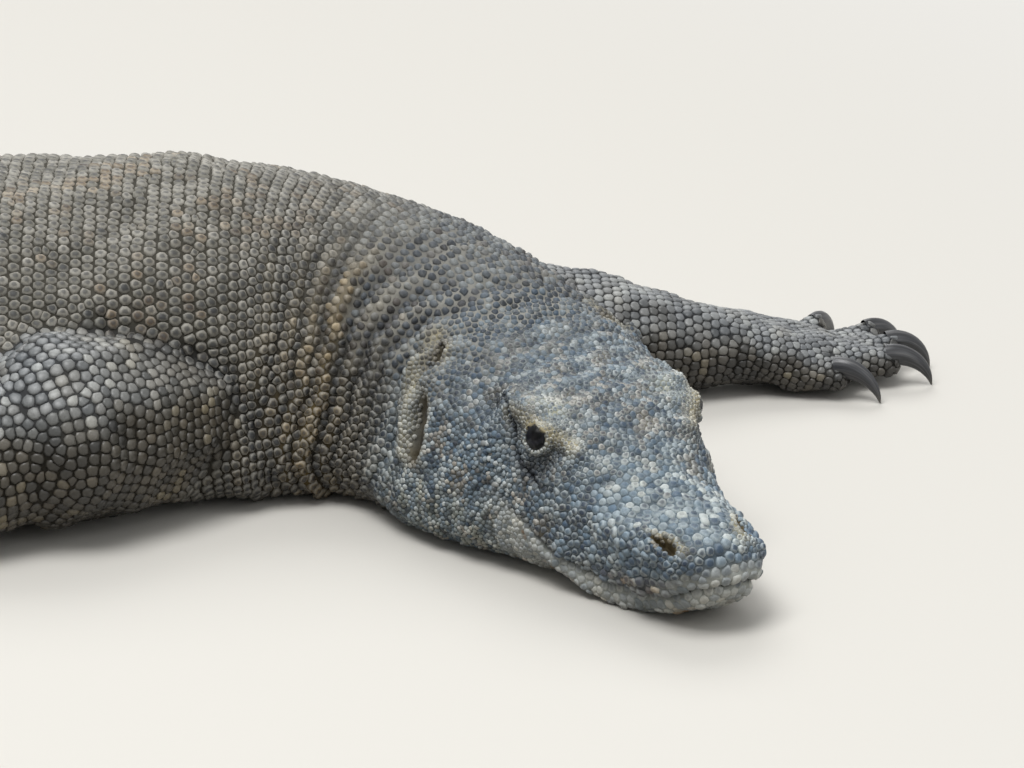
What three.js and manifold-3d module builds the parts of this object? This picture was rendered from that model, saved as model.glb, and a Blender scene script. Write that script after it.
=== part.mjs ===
// A life-size Komodo dragon (Varanus komodoensis), resting flat on the ground with its head turned to
// its right, its left arm stretched forward and its right arm folded back along the flank.
// Millimetres, +Z up, +X forwards along the trunk, +Y to the animal's left. The origin is the bottom
// centre of the whole animal's box. The body is lofted from sections along its centreline and parted by
// thin gaps into head, jaw, neck, trunk and tail. Limbs are lofted segments cut by the flesh they grow
// from; eyes, ear drums and claws are pieces of their own.
import * as THREE from "three";
import { mergeVertices } from "three/addons/utils/BufferGeometryUtils.js";
import Module from "manifold-3d";

const wasm = await Module();
wasm.setup();

// ---- Driving dimensions ----------------------------------------------------------------------
const HEAD = 208; // snout tip to just behind the ear opening
const NECK = 198; // there to the shoulders
const TRUNK = 700; // shoulders to hips
const HIPS = 70; // hips to vent
const TAIL = 1300; // vent to tail tip
const GAP = 0.35; // clearance between neighbouring pieces

const NAPE_AT = HEAD;
const SHOULDER_AT = NAPE_AT + NECK;
const HIP_AT = SHOULDER_AT + TRUNK;
const VENT_AT = HIP_AT + HIPS;
const TIP_AT = VENT_AT + TAIL;

const HEAD_PITCH = 6.4; // degrees the head slopes down towards the snout
const TIP_HEIGHT = 38; // height of the centreline at the snout tip

// Turns of the centreline seen from above, in degrees to the left going towards the head.
const BENDS = [
  { from: TIP_AT, to: VENT_AT + 820, turn: 62 },
  { from: VENT_AT + 760, to: VENT_AT + 60, turn: -52 },
  { from: VENT_AT, to: SHOULDER_AT + 260, turn: 10 },
  { from: SHOULDER_AT - 5, to: NAPE_AT - 15, turn: -60 },
];

const rad = THREE.MathUtils.degToRad;
const smooth = THREE.MathUtils.smoothstep;

// ---- Small tools -----------------------------------------------------------------------------

// A curve through a few points that never overshoots them (monotone cubic).
function profile(points) {
  const x = points.map((p) => p[0]);
  const y = points.map((p) => p[1]);
  const step = x.slice(1).map((v, i) => v - x[i]);
  const slope = step.map((h, i) => (y[i + 1] - y[i]) / h);
  const tangent = y.map((_, i) => {
    if (i === 0) return slope[0];
    if (i === y.length - 1) return slope[i - 1];
    if (slope[i - 1] * slope[i] <= 0) return 0;
    const a = 2 * step[i] + step[i - 1];
    const b = step[i] + 2 * step[i - 1];
    return (a + b) / (a / slope[i - 1] + b / slope[i]);
  });
  return (at) => {
    const t = Math.min(Math.max(at, x[0]), x[x.length - 1]);
    let i = 0;
    while (i < x.length - 2 && t > x[i + 1]) i++;
    const h = step[i];
    const u = (t - x[i]) / h;
    return (
      y[i] * (1 + 2 * u) * (1 - u) ** 2 +
      tangent[i] * h * u * (1 - u) ** 2 +
      y[i + 1] * u * u * (3 - 2 * u) +
      tangent[i + 1] * h * u * u * (u - 1)
    );
  };
}

// One profile for each column of a table whose rows start with their place along the body.
const columns = (rows) =>
  rows[0].slice(1).map((_, k) => profile(rows.map((row) => [row[0], row[k + 1]])));

// A closed tube over rings of points, with a fan at either end.
function skinOver(rings) {
  const count = rings[0].length;
  const points = [];
  const index = [];
  for (const ring of rings) for (const p of ring) points.push(p.x, p.y, p.z);
  for (let i = 0; i + 1 < rings.length; i++) {
    for (let k = 0; k < count; k++) {
      const a = i * count + k;
      const b = i * count + ((k + 1) % count);
      index.push(a, b, b + count, a, b + count, a + count);
    }
  }
  for (const [ring, turned] of [[0, true], [rings.length - 1, false]]) {
    const middle = rings[ring].reduce((sum, p) => sum.add(p), new THREE.Vector3());
    middle.divideScalar(count);
    const centre = points.length / 3;
    points.push(middle.x, middle.y, middle.z);
    for (let k = 0; k < count; k++) {
      const a = ring * count + k;
      const b = ring * count + ((k + 1) % count);
      if (turned) index.push(centre, b, a);
      else index.push(centre, a, b);
    }
  }
  const geometry = new THREE.BufferGeometry();
  geometry.setAttribute("position", new THREE.Float32BufferAttribute(points, 3));
  geometry.setIndex(index);
  return geometry;
}

// A geometry as a manifold-3d solid, turned to face outwards.
function solid(geometry) {
  const bare = geometry.clone();
  bare.deleteAttribute("normal");
  bare.deleteAttribute("uv");
  const merged = mergeVertices(bare, 1e-4);
  const triVerts = new Uint32Array(merged.index.array);
  const vertProperties = new Float32Array(merged.attributes.position.array);
  const made = new wasm.Manifold(new wasm.Mesh({ numProp: 3, vertProperties, triVerts }));
  if (made.volume() > 0) return made;
  for (let i = 0; i < triVerts.length; i += 3) {
    [triVerts[i + 1], triVerts[i + 2]] = [triVerts[i + 2], triVerts[i + 1]];
  }
  return new wasm.Manifold(new wasm.Mesh({ numProp: 3, vertProperties, triVerts }));
}

// The largest body of a solid, as a geometry: a cut can leave a sliver behind.
function geometryOf(made) {
  const body = made.decompose().reduce((a, b) => (b.volume() > a.volume() ? b : a));
  const mesh = body.getMesh();
  const geometry = new THREE.BufferGeometry();
  const corners = new Float32Array(mesh.vertProperties);
  geometry.setAttribute("position", new THREE.BufferAttribute(corners, 3));
  geometry.setIndex(new THREE.BufferAttribute(new Uint32Array(mesh.triVerts), 1));
  geometry.computeVertexNormals();
  return geometry;
}

const aboveGround = (made) => made.trimByPlane([0, 0, 1], 0);
const union = (list) => list.reduce((a, b) => a.add(b));
const cutBy = (made, ...tools) => tools.reduce((a, b) => a.subtract(b), made);

// ---- Centreline ------------------------------------------------------------------------------

// Direction of travel towards the head, as an angle seen from above; 0 at the shoulders.
function heading(s) {
  const turned = (at) =>
    BENDS.reduce((sum, b) => sum + b.turn * (1 - smooth(at, b.to, b.from)), 0);
  return rad(turned(s) - turned(SHOULDER_AT));
}

const CENTRE_HEIGHT = profile([
  [0, TIP_HEIGHT],
  [NAPE_AT - 10, TIP_HEIGHT + (NAPE_AT - 10) * Math.sin(rad(HEAD_PITCH))],
  [NAPE_AT + 60, 70],
  [SHOULDER_AT, 66],
  [SHOULDER_AT + 150, 60],
  [HIP_AT - 150, 60],
  [VENT_AT, 52],
  [VENT_AT + 500, 34],
  [VENT_AT + 1000, 14],
  [TIP_AT, 4.5],
]);

// The centreline as closely spaced points, integrated from the shoulders outwards, where x = y = 0.
const STEP = 2;
const track = (() => {
  const made = new Map();
  for (const way of [-1, 1]) {
    let x = 0;
    let y = 0;
    for (let s = SHOULDER_AT; s >= -20 && s <= TIP_AT + 20; s += way * STEP) {
      made.set(s, new THREE.Vector3(x, y, CENTRE_HEIGHT(s)));
      const angle = heading(s + (way * STEP) / 2);
      x -= way * STEP * Math.cos(angle);
      y -= way * STEP * Math.sin(angle);
    }
  }
  return made;
})();

function centre(s) {
  const low = SHOULDER_AT + Math.floor((s - SHOULDER_AT) / STEP) * STEP;
  const a = track.get(low);
  const b = track.get(low + STEP) ?? a;
  return a.clone().lerp(b, (s - low) / STEP);
}

// Place, forward, left and up on the centreline.
function frameAt(s) {
  const place = centre(s);
  const forward = centre(s - 3).sub(centre(s + 3)).normalize();
  const left = new THREE.Vector3(0, 0, 1).cross(forward).normalize();
  const up = forward.clone().cross(left);
  return { place, forward, left, up };
}

// A point given by its distance behind the snout tip, its offset to the left and its height over the
// centreline.
function onBody(s, left, up) {
  const f = frameAt(s);
  return f.place.addScaledVector(f.left, left).addScaledVector(f.up, up);
}

// ---- Sections of the body --------------------------------------------------------------------
// Rows: distance behind the snout tip, half width, height above the centreline, depth below it,
// how far the top narrows, how far the underside spreads, squareness above, squareness below.
const SECTIONS = columns([
  [0.5, 10, 3, 9, 0.1, 0, 2.2, 2.1],
  [4, 21, 8, 20, 0.2, 0, 2.3, 2.1],
  [11, 28, 11, 28, 0.35, 0, 2.5, 2.2],
  [24, 33, 13, 36, 0.42, 0, 2.7, 2.3],
  [45, 38, 14, 43, 0.44, 0, 2.7, 2.5],
  [70, 42, 20, 46, 0.36, 0.05, 2.7, 2.6],
  [92, 47, 30, 49, 0.18, 0.1, 3, 2.7],
  [112, 51, 38, 52, 0.1, 0.16, 3.4, 2.8],
  [135, 57, 41, 56, 0.14, 0.22, 3.2, 2.9],
  [165, 63, 43, 62, 0.18, 0.28, 2.8, 3.2],
  [195, 68, 47, 66, 0.2, 0.28, 2.5, 3.4],
  [NAPE_AT, 68, 50, 68, 0.2, 0.26, 2.3, 3.4],
  [NAPE_AT + 45, 70, 57, 76, 0.18, 0.2, 2.1, 3.4],
  [NAPE_AT + 100, 80, 67, 74, 0.14, 0.18, 2.1, 3.6],
  [SHOULDER_AT - 30, 100, 83, 72, 0.1, 0.16, 2.1, 3.8],
  [SHOULDER_AT + 20, 111, 88, 72, 0.08, 0.14, 2.1, 4],
  [SHOULDER_AT + 120, 120, 86, 72, 0.06, 0.12, 2.1, 4],
  [SHOULDER_AT + 300, 140, 98, 74, 0.05, 0.1, 2.1, 4],
  [SHOULDER_AT + 460, 144, 98, 74, 0.05, 0.1, 2.1, 4],
  [HIP_AT - 100, 120, 92, 70, 0.05, 0.08, 2.1, 3],
  [HIP_AT, 92, 84, 64, 0.05, 0.05, 2.1, 2.6],
  [VENT_AT, 68, 74, 57, 0.1, 0, 2, 2.3],
  [VENT_AT + 100, 54, 68, 54, 0.15, 0, 2, 2.3],
  [VENT_AT + 300, 41, 57, 46, 0.2, 0, 1.95, 2.2],
  [VENT_AT + 600, 28, 42, 35, 0.25, 0, 1.9, 2.2],
  [VENT_AT + 900, 17, 27, 24, 0.25, 0, 1.9, 2.2],
  [VENT_AT + 1150, 8.5, 14, 13, 0.25, 0, 1.9, 2.2],
  [TIP_AT - 4, 2.6, 4, 4.2, 0.1, 0, 2, 2],
]);

// Soft hills and hollows of the head: place behind the tip, offset to the side, height over the
// centreline, reach along, reach across, and how far the surface moves outwards.
const HEAD_FORMS = [
  { at: 118, side: 43, up: 36, long: 28, wide: 9, push: 6 }, // brow ridge
  { at: 114, side: 48, up: 19, long: 14, wide: 9, push: -6.5 }, // eye socket
  { at: 66, side: 36, up: 10, long: 20, wide: 12, push: -3 }, // hollow in front of the eye
  { at: 30, side: 26, up: 8, long: 12, wide: 10, push: 2.5 }, // swelling round the nostril
  { at: 152, side: 50, up: 34, long: 14, wide: 10, push: -4 }, // hollow behind the brow
  { at: 170, side: 62, up: 8, long: 30, wide: 26, push: 4 }, // jaw muscle
  { at: 62, side: 42, up: -22, long: 30, wide: 9, push: 2 }, // upper lip
];

function headForm(s, side, up) {
  return HEAD_FORMS.reduce((sum, form) => {
    const along = (s - form.at) / form.long;
    const across = Math.hypot(Math.abs(side) - form.side, up - form.up) / form.wide;
    return sum + form.push * Math.exp(-along * along - across * across);
  }, 0);
}

// Corners round one section, lifted to the ground where the flesh would sink below it.
function section(s, count, grow) {
  const [wide, high, deep, narrow, spread, squareUp, squareDown] = SECTIONS.map((f) => f(s));
  const ring = [];
  for (let k = 0; k < count; k++) {
    const angle = (2 * Math.PI * k) / count;
    const c = Math.cos(angle);
    const d = Math.sin(angle);
    const square = d > 0 ? squareUp : squareDown;
    const rise = Math.abs(d) ** (2 / square);
    const reach = Math.abs(c) ** (2 / square);
    const taper = d > 0 ? 1 - narrow * rise ** 1.3 : 1 + spread * Math.min(1, 1.4 * rise);
    let side = Math.sign(c) * wide * reach * taper;
    let up = (d > 0 ? high : -deep) * rise;
    const out = grow + headForm(s, side, up);
    const length = Math.hypot(side, up) || 1;
    side += (out * side) / length;
    up += (out * up) / length;
    const p = onBody(s, side, up);
    p.z = Math.max(p.z, -grow);
    ring.push(p);
  }
  return ring;
}

// Body from one place to another as a closed tube, with rings at most `spacing` apart.
function bodyLength(from, to, spacing, count, grow = 0) {
  const steps = Math.max(1, Math.round((to - from) / spacing));
  const rings = [];
  for (let i = 0; i <= steps; i++) {
    rings.push(section(from + ((to - from) * i) / steps, count, grow));
  }
  return solid(skinOver(rings));
}

// The head has closer rings at the blunt tip of the snout.
function headLength(grow = 0) {
  const places = [0.5, 3, 8, 15, 24, 34];
  for (let s = 48; s < NAPE_AT - 5; s += 15) places.push(s);
  places.push(NAPE_AT - GAP / 2);
  return solid(skinOver(places.map((s) => section(s, 20, grow))));
}

// ---- Materials -------------------------------------------------------------------------------
const flesh = (color) => new THREE.MeshStandardMaterial({ color, roughness: 0.75, metalness: 0 });
const LOOKS = {
  head_hide: flesh(0x767c82),
  body_hide: flesh(0x6d675e),
  limb_hide: flesh(0x66696b),
  claw: new THREE.MeshStandardMaterial({ color: 0x3b3d42, roughness: 0.4, metalness: 0 }),
  eye: new THREE.MeshStandardMaterial({ color: 0x1d1512, roughness: 0.12, metalness: 0 }),
  ear_drum: flesh(0x5f5a3e),
};

const dragon = new THREE.Group();
function addNode(name, made, look) {
  const mesh = new THREE.Mesh(geometryOf(made), LOOKS[look]);
  mesh.name = name;
  dragon.add(mesh);
}

// ---- Eyes and ear drums ----------------------------------------------------------------------
const EYE = { at: 114, side: 40, up: 22, radius: 9.5 };
const EAR = { at: 195, side: 63, up: 10, across: 6, tall: 27, thick: 7, lean: 0.24 };
const SIDES = [["left", 1], ["right", -1]];

function ball(place, radii, forward, up, detail) {
  const geometry = new THREE.SphereGeometry(1, detail, detail / 2);
  const left = up.clone().cross(forward);
  const turn = new THREE.Matrix4().makeBasis(forward, left, up);
  geometry.applyMatrix4(turn.multiply(new THREE.Matrix4().makeScale(...radii)).setPosition(place));
  return solid(geometry);
}

function eyeBall(way, grow = 0) {
  const f = frameAt(EYE.at);
  const size = EYE.radius + grow;
  return ball(onBody(EYE.at, way * EYE.side, EYE.up), [size, size, size], f.forward, f.up, 12);
}

function earDrum(way, grow = 0) {
  const f = frameAt(EAR.at);
  const radii = [EAR.across + grow, EAR.thick + grow, EAR.tall + grow];
  const up = f.up.clone().addScaledVector(f.left, -way * EAR.lean).normalize();
  return ball(onBody(EAR.at, way * EAR.side, EAR.up), radii, f.forward, up, 10);
}

// ---- Jaw -------------------------------------------------------------------------------------
// The line of the mouth in the head's own side view, and the cut behind its corner that frees the
// lower jaw.
const MOUTH = [
  [-20, -8], [0, -10], [18, -22], [38, -29], [58, -33],
  [76, -31], [94, -27], [110, -16], [128, -8], [146, -5],
];
const JAW_BACK = [[156, -26], [164, -60], [170, -140]];

function jawRegion(grow) {
  const outline = [
    ...MOUTH.map(([s, up]) => [s, up + grow]),
    ...JAW_BACK.map(([s, up]) => [s + grow, up]),
    [-20, -140],
  ];
  const head = frameAt(NAPE_AT / 2);
  const start = centre(0);
  const shape = new THREE.Shape(outline.map(([s, up]) => new THREE.Vector2(s, up)));
  const geometry = new THREE.ExtrudeGeometry(shape, { depth: 260, bevelEnabled: false });
  geometry.translate(0, 0, -130);
  const back = head.forward.clone().negate();
  const basis = new THREE.Matrix4().makeBasis(back, head.up, back.clone().cross(head.up));
  geometry.applyMatrix4(basis.setPosition(start));
  return solid(geometry);
}

// ---- Limbs -----------------------------------------------------------------------------------
// A rounded limb segment between two joints. Rows: share of the length, half width, half height.
function limbSegment(from, to, rows, sideways, grow = 0, count = 10) {
  const axis = to.clone().sub(from);
  const length = axis.length();
  axis.normalize();
  const side = sideways.clone().addScaledVector(axis, -sideways.dot(axis)).normalize();
  const top = axis.clone().cross(side);
  const [wide, high] = columns(rows);
  const rings = [];
  const ring = (along, share, size) => {
    const points = [];
    for (let k = 0; k < count; k++) {
      const angle = (2 * Math.PI * k) / count;
      const middle = from.clone().addScaledVector(axis, along);
      middle.addScaledVector(side, (wide(share) + grow) * size * Math.cos(angle));
      points.push(middle.addScaledVector(top, (high(share) + grow) * size * Math.sin(angle)));
    }
    rings.push(points);
  };
  const rounding = [0.3, 0.8];
  const bulge = (share) => 0.8 * Math.min(wide(share), high(share)) + grow;
  for (const r of rounding) ring(-bulge(0) * Math.sqrt(1 - r * r), 0, r);
  const steps = Math.max(2, Math.round(length / 30));
  for (let i = 0; i <= steps; i++) ring((length * i) / steps, i / steps, 1);
  for (const r of [...rounding].reverse()) ring(length + bulge(1) * Math.sqrt(1 - r * r), 1, r);
  return solid(skinOver(rings));
}

// A tube along a path of points with a radius at each, rounded at its end.
function fingerTube(path, radii, grow = 0, count = 6) {
  const curve = new THREE.CatmullRomCurve3(path);
  const radius = profile(radii.map((r, i) => [i / (radii.length - 1), r]));
  const rings = [];
  const steps = 2;
  for (let i = 0; i <= steps + 1; i++) {
    const t = Math.min(i / steps, 1);
    const tangent = curve.getTangent(t);
    const side = new THREE.Vector3(0, 0, 1).cross(tangent).normalize();
    const top = tangent.clone().cross(side);
    const size = i > steps ? 0.35 : 1;
    const place = curve.getPoint(t).addScaledVector(tangent, i > steps ? 0.7 * radius(1) : 0);
    const ring = [];
    for (let k = 0; k < count; k++) {
      const angle = (2 * Math.PI * k) / count;
      const r = (radius(t) + grow) * size;
      const corner = place.clone().addScaledVector(side, r * Math.cos(angle));
      ring.push(corner.addScaledVector(top, r * Math.sin(angle)));
    }
    rings.push(ring);
  }
  return solid(skinOver(rings));
}

const CLAW_CORNERS = 5;

// A claw curving down from its root through `sweep` degrees, deeper than wide, ending in a blunt point.
function claw(root, forward, up, size, grow = 0) {
  const { length, depth, width, sweep } = size;
  const bend = length / rad(sweep);
  const side = up.clone().cross(forward);
  const steps = 3;
  const rings = [];
  for (let i = 0; i <= steps; i++) {
    const share = i / steps;
    const angle = rad(sweep) * share;
    const along = forward.clone().multiplyScalar(Math.cos(angle));
    along.addScaledVector(up, -Math.sin(angle));
    const top = along.clone().cross(side);
    const place = root.clone().addScaledVector(forward, bend * Math.sin(angle));
    place.addScaledVector(up, -bend * (1 - Math.cos(angle)));
    const thin = (1 - share ** 1.6) * 0.9 + 0.1;
    const ring = [];
    for (let k = 0; k < CLAW_CORNERS; k++) {
      const turn = (2 * Math.PI * (k + 0.25)) / CLAW_CORNERS;
      const p = place.clone().addScaledVector(side, (width * thin + grow) * Math.cos(turn));
      ring.push(p.addScaledVector(top, (depth * thin + grow) * Math.sin(turn)));
    }
    rings.push(ring);
  }
  return solid(skinOver(rings));
}

// Hand or foot: a palm from the wrist and five arched digits with their claws.
// `turn` is the way the palm points, in degrees from +X, and `bend` how far the digits turn towards
// the first.
function paw(wrist, turn, bend, way, spec) {
  const forward = new THREE.Vector3(Math.cos(rad(turn)), Math.sin(rad(turn)), 0);
  const left = new THREE.Vector3(-forward.y, forward.x, 0);
  const floor = new THREE.Vector3(wrist.x, wrist.y, 0);
  const at = (along, side, height) =>
    floor.clone().addScaledVector(forward, along).addScaledVector(left, way * side).setZ(height);
  const knuckle = at(spec.palm, 0, spec.knuckleHeight);
  const pieces = [limbSegment(wrist.clone(), knuckle, spec.palmRows, left)];
  const claws = [];
  for (const [i, digit] of spec.digits.entries()) {
    const angle = rad(turn + way * (bend + digit.spread));
    const point = new THREE.Vector3(Math.cos(angle), Math.sin(angle), 0);
    const root = at(spec.palm * digit.root, digit.side, spec.knuckleHeight);
    const along = (share, height) =>
      root.clone().addScaledVector(point, digit.length * share).setZ(height);
    const r = spec.digitRadius * digit.stout;
    const path = [along(-0.35, r - 1), along(0.2, r + 5), along(0.6, r + 4), along(1, r + 2)];
    const radii = [r * 1.15, r * 1.05, r * 0.98, r * 0.92];
    pieces.push(fingerTube(path, radii));
    const size = { ...spec.claw, length: spec.claw.length * digit.stout };
    const tip = along(0.98, r + 8);
    const lift = new THREE.Vector3(0, 0, 1);
    claws.push({ i, make: (grow) => claw(tip, point, lift, size, grow) });
  }
  return { palm: union(pieces), claws };
}

const HAND = {
  palm: 58,
  knuckleHeight: 13,
  palmRows: [[0, 24, 20], [0.5, 30, 18], [1, 33, 14]],
  digitRadius: 10,
  claw: { length: 34, depth: 6.4, width: 4.2, sweep: 78 },
  digits: [
    { spread: 34, side: 22, root: 0.6, length: 24, stout: 1 },
    { spread: 12, side: 18, root: 0.98, length: 32, stout: 1 },
    { spread: 0, side: 4, root: 1.06, length: 35, stout: 1 },
    { spread: -14, side: -11, root: 1.03, length: 34, stout: 0.95 },
    { spread: -40, side: -23, root: 0.82, length: 28, stout: 0.85 },
  ],
};

const FOOT = {
  palm: 78,
  knuckleHeight: 13,
  palmRows: [[0, 26, 24], [0.4, 29, 20], [1, 33, 14]],
  digitRadius: 10,
  claw: { length: 33, depth: 5.8, width: 4, sweep: 74 },
  digits: [
    { spread: 34, side: 25, root: 0.8, length: 27, stout: 0.9 },
    { spread: 17, side: 18, root: 1, length: 40, stout: 1 },
    { spread: 4, side: 5, root: 1.06, length: 52, stout: 1 },
    { spread: -8, side: -9, root: 1.04, length: 62, stout: 1 },
    { spread: -50, side: -24, root: 0.55, length: 34, stout: 0.9 },
  ],
};

const ARM_ROWS = [[0, 46, 46], [0.35, 45, 47], [0.75, 40, 42], [1, 36, 38]];
const BENT_ARM_ROWS = [[0, 42, 44], [0.35, 45, 46], [0.75, 49, 49], [1, 49, 50]];
const FOREARM_ROWS = [[0, 38, 38], [0.3, 38, 37], [0.75, 28, 26], [1, 25, 21]];
const THIGH_ROWS = [[0, 58, 54], [0.35, 56, 54], [0.8, 44, 44], [1, 38, 38]];
const SHANK_ROWS = [[0, 40, 40], [0.3, 40, 38], [0.75, 29, 27], [1, 26, 24]];

// Joint places in the body's own coordinates, with x = y = 0 at the shoulders.
const v3 = (x, y, z) => new THREE.Vector3(x, y, z);
const hip = centre(HIP_AT);
const fromHip = (x, y, z) => {
  const f = frameAt(HIP_AT);
  const flat = v3(f.forward.x, f.forward.y, 0).normalize();
  return v3(hip.x, hip.y, 0).addScaledVector(flat, x).addScaledVector(f.left, y).setZ(z);
};
const LIMBS = [
  {
    parts: ["upper_arm_left", "forearm_left", "hand_left"], claws: "claw_hand_left_",
    joints: [v3(45, 66, 56), v3(176, 70, 36), v3(277, 83, 24)],
    rows: [ARM_ROWS, FOREARM_ROWS], spec: HAND, turn: 20, bend: 4, way: -1,
  },
  {
    parts: ["upper_arm_right", "forearm_right", "hand_right"], claws: "claw_hand_right_",
    joints: [v3(30, -46, 42), v3(-66, -126, 54), v3(-170, -178, 24)],
    rows: [BENT_ARM_ROWS, FOREARM_ROWS], spec: HAND, turn: 204, bend: 0, way: 1,
  },
  {
    parts: ["thigh_left", "shank_left", "foot_left"], claws: "claw_foot_left_",
    joints: [fromHip(0, 40, 60), fromHip(105, 165, 56), fromHip(-5, 245, 26)],
    rows: [THIGH_ROWS, SHANK_ROWS], spec: FOOT, turn: 30, bend: 0, way: -1,
  },
  {
    parts: ["thigh_right", "shank_right", "foot_right"], claws: "claw_foot_right_",
    joints: [fromHip(0, -40, 60), fromHip(60, -180, 54), fromHip(-80, -240, 26)],
    rows: [THIGH_ROWS, SHANK_ROWS], spec: FOOT, turn: -62, bend: 0, way: 1,
  },
];

// ---- Building the nodes ----------------------------------------------------------------------

// Body lengths behind the head: name, start, end, ring spacing and corners.
const LENGTHS = [
  ["neck", NAPE_AT, SHOULDER_AT - 40, 20, 20, "body_hide"],
  ["chest", SHOULDER_AT - 40, SHOULDER_AT + 190, 38, 20, "body_hide"],
  ["belly", SHOULDER_AT + 190, SHOULDER_AT + 470, 56, 20, "body_hide"],
  ["hips", SHOULDER_AT + 470, VENT_AT + 20, 44, 20, "body_hide"],
  ["tail_1", VENT_AT + 20, VENT_AT + 260, 40, 16, "body_hide"],
  ["tail_2", VENT_AT + 260, VENT_AT + 520, 40, 14, "body_hide"],
  ["tail_3", VENT_AT + 520, VENT_AT + 780, 40, 12, "body_hide"],
  ["tail_4", VENT_AT + 780, VENT_AT + 1040, 40, 12, "body_hide"],
  ["tail_5", VENT_AT + 1040, TIP_AT - 4, 36, 10, "body_hide"],
];

const wholeHead = headLength();
const openings = SIDES.flatMap(([, way]) => [eyeBall(way, GAP), earDrum(way, GAP)]);
addNode("head", cutBy(wholeHead, jawRegion(GAP), ...openings), "head_hide");
addNode("lower_jaw", wholeHead.intersect(jawRegion(0)), "head_hide");
for (const [side, way] of SIDES) {
  addNode("eye_" + side, eyeBall(way), "eye");
  addNode("ear_drum_" + side, earDrum(way), "ear_drum");
}
for (const [name, from, to, spacing, count, look] of LENGTHS) {
  addNode(name, bodyLength(from + GAP / 2, to - GAP / 2, spacing, count), look);
}

// The body a little enlarged, which limbs are cut back to.
const bodyTool = union([
  headLength(GAP),
  ...LENGTHS.filter(([name]) => !/tail_[2-5]/.test(name)).map(([, from, to, spacing, count]) =>
    bodyLength(from, to, spacing, count, GAP),
  ),
]);

for (const limb of LIMBS) {
  const [root, middle, end] = limb.joints;
  const sideways = v3(0, 1, 0);
  const upper = (grow) => limbSegment(root, middle, limb.rows[0], sideways, grow);
  const lower = (grow) => limbSegment(middle, end, limb.rows[1], sideways, grow);
  const { palm, claws } = paw(end, limb.turn, limb.bend, limb.way, limb.spec);
  const clawTools = claws.map((c) => c.make(GAP));
  addNode(limb.parts[0], aboveGround(cutBy(upper(0), bodyTool)), "limb_hide");
  addNode(limb.parts[1], aboveGround(cutBy(lower(0), upper(GAP), bodyTool)), "limb_hide");
  const paws = cutBy(palm, lower(GAP), bodyTool, ...clawTools);
  addNode(limb.parts[2], aboveGround(paws), "limb_hide");
  for (const c of claws) addNode(limb.claws + (c.i + 1), aboveGround(c.make(0)), "claw");
}

// ---- Placing the origin ----------------------------------------------------------------------
const box = new THREE.Box3().setFromObject(dragon);
const middle = box.getCenter(new THREE.Vector3());
dragon.position.set(-middle.x, -middle.y, 0);

export default dragon;
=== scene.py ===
import math
from collections import namedtuple

import bmesh
import bpy
import numpy as np
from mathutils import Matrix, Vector
from mathutils.bvhtree import BVHTree
from mathutils.kdtree import KDTree


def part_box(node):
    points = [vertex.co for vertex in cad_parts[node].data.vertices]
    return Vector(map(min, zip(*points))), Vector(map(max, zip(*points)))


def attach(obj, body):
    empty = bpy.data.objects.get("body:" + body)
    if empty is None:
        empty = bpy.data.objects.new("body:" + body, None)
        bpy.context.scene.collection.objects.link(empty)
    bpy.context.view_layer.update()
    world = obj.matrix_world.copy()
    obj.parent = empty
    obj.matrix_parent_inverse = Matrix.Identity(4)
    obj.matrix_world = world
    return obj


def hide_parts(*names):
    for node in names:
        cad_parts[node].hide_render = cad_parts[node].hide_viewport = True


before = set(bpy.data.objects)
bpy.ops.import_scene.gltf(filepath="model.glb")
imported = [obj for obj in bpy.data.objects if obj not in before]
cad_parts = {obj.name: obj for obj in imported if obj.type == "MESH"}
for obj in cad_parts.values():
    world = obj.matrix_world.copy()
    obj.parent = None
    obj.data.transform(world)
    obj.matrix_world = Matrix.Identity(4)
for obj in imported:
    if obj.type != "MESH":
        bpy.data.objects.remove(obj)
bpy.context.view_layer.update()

# ---- Studio -------------------------------------------------------------------------------------
# A long lens looks down at the head and shoulders from the animal's right. A pale floor, one broad
# soft lamp over the camera's left shoulder, a weaker one from the right and an even pale room.
AIM = Vector((0.9406, 0.0775, 0.0))  # the point on the floor that the lens looks at
LENS_AWAY, LENS_TILT = 3.14, math.radians(20)
LENS_MM, SENSOR_MM = 205.7, 36.0


def linear(code):
    """The linear colour of an sRGB hex code such as "#8a7a5c"."""
    parts = [int(code[i : i + 2], 16) / 255 for i in (1, 3, 5)]
    return (*(c / 12.92 if c <= 0.04045 else ((c + 0.055) / 1.055) ** 2.4 for c in parts), 1.0)


def node(tree, kind, inputs=None, stops=None, **settings):
    """Adds one shader node. An input given another node's socket is linked to it."""
    made = tree.nodes.new("ShaderNode" + kind)
    for key, value in settings.items():
        setattr(made, key, value)
    for key, value in (inputs or {}).items():
        if isinstance(value, bpy.types.NodeSocket):
            tree.links.new(value, made.inputs[key])
        else:
            made.inputs[key].default_value = value
    if stops:
        bar = made.color_ramp.elements
        while len(bar) < len(stops):
            bar.new(0.5)
        for stop, (place, code) in zip(bar, stops):
            stop.position = place
            stop.color = linear(code) if isinstance(code, str) else (code, code, code, 1)
    return made


def new_material(name):
    """An empty node material and its output node."""
    made = bpy.data.materials.new(name)
    made.use_nodes = True
    made.node_tree.nodes.clear()
    return made, made.node_tree.nodes.new("ShaderNodeOutputMaterial")


scene = bpy.context.scene
scene.view_settings.view_transform = "Standard"
lens = bpy.data.cameras.new("camera")
lens.lens, lens.sensor_width = LENS_MM, SENSOR_MM
lens.clip_start, lens.clip_end = 0.05, 60
camera = bpy.data.objects.new("camera", lens)
back = Vector((0, -math.cos(LENS_TILT), math.sin(LENS_TILT)))
camera.location = AIM + back * LENS_AWAY
camera.rotation_euler = (-back).to_track_quat("-Z", "Y").to_euler()
scene.collection.objects.link(camera)
scene.camera = camera

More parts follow.
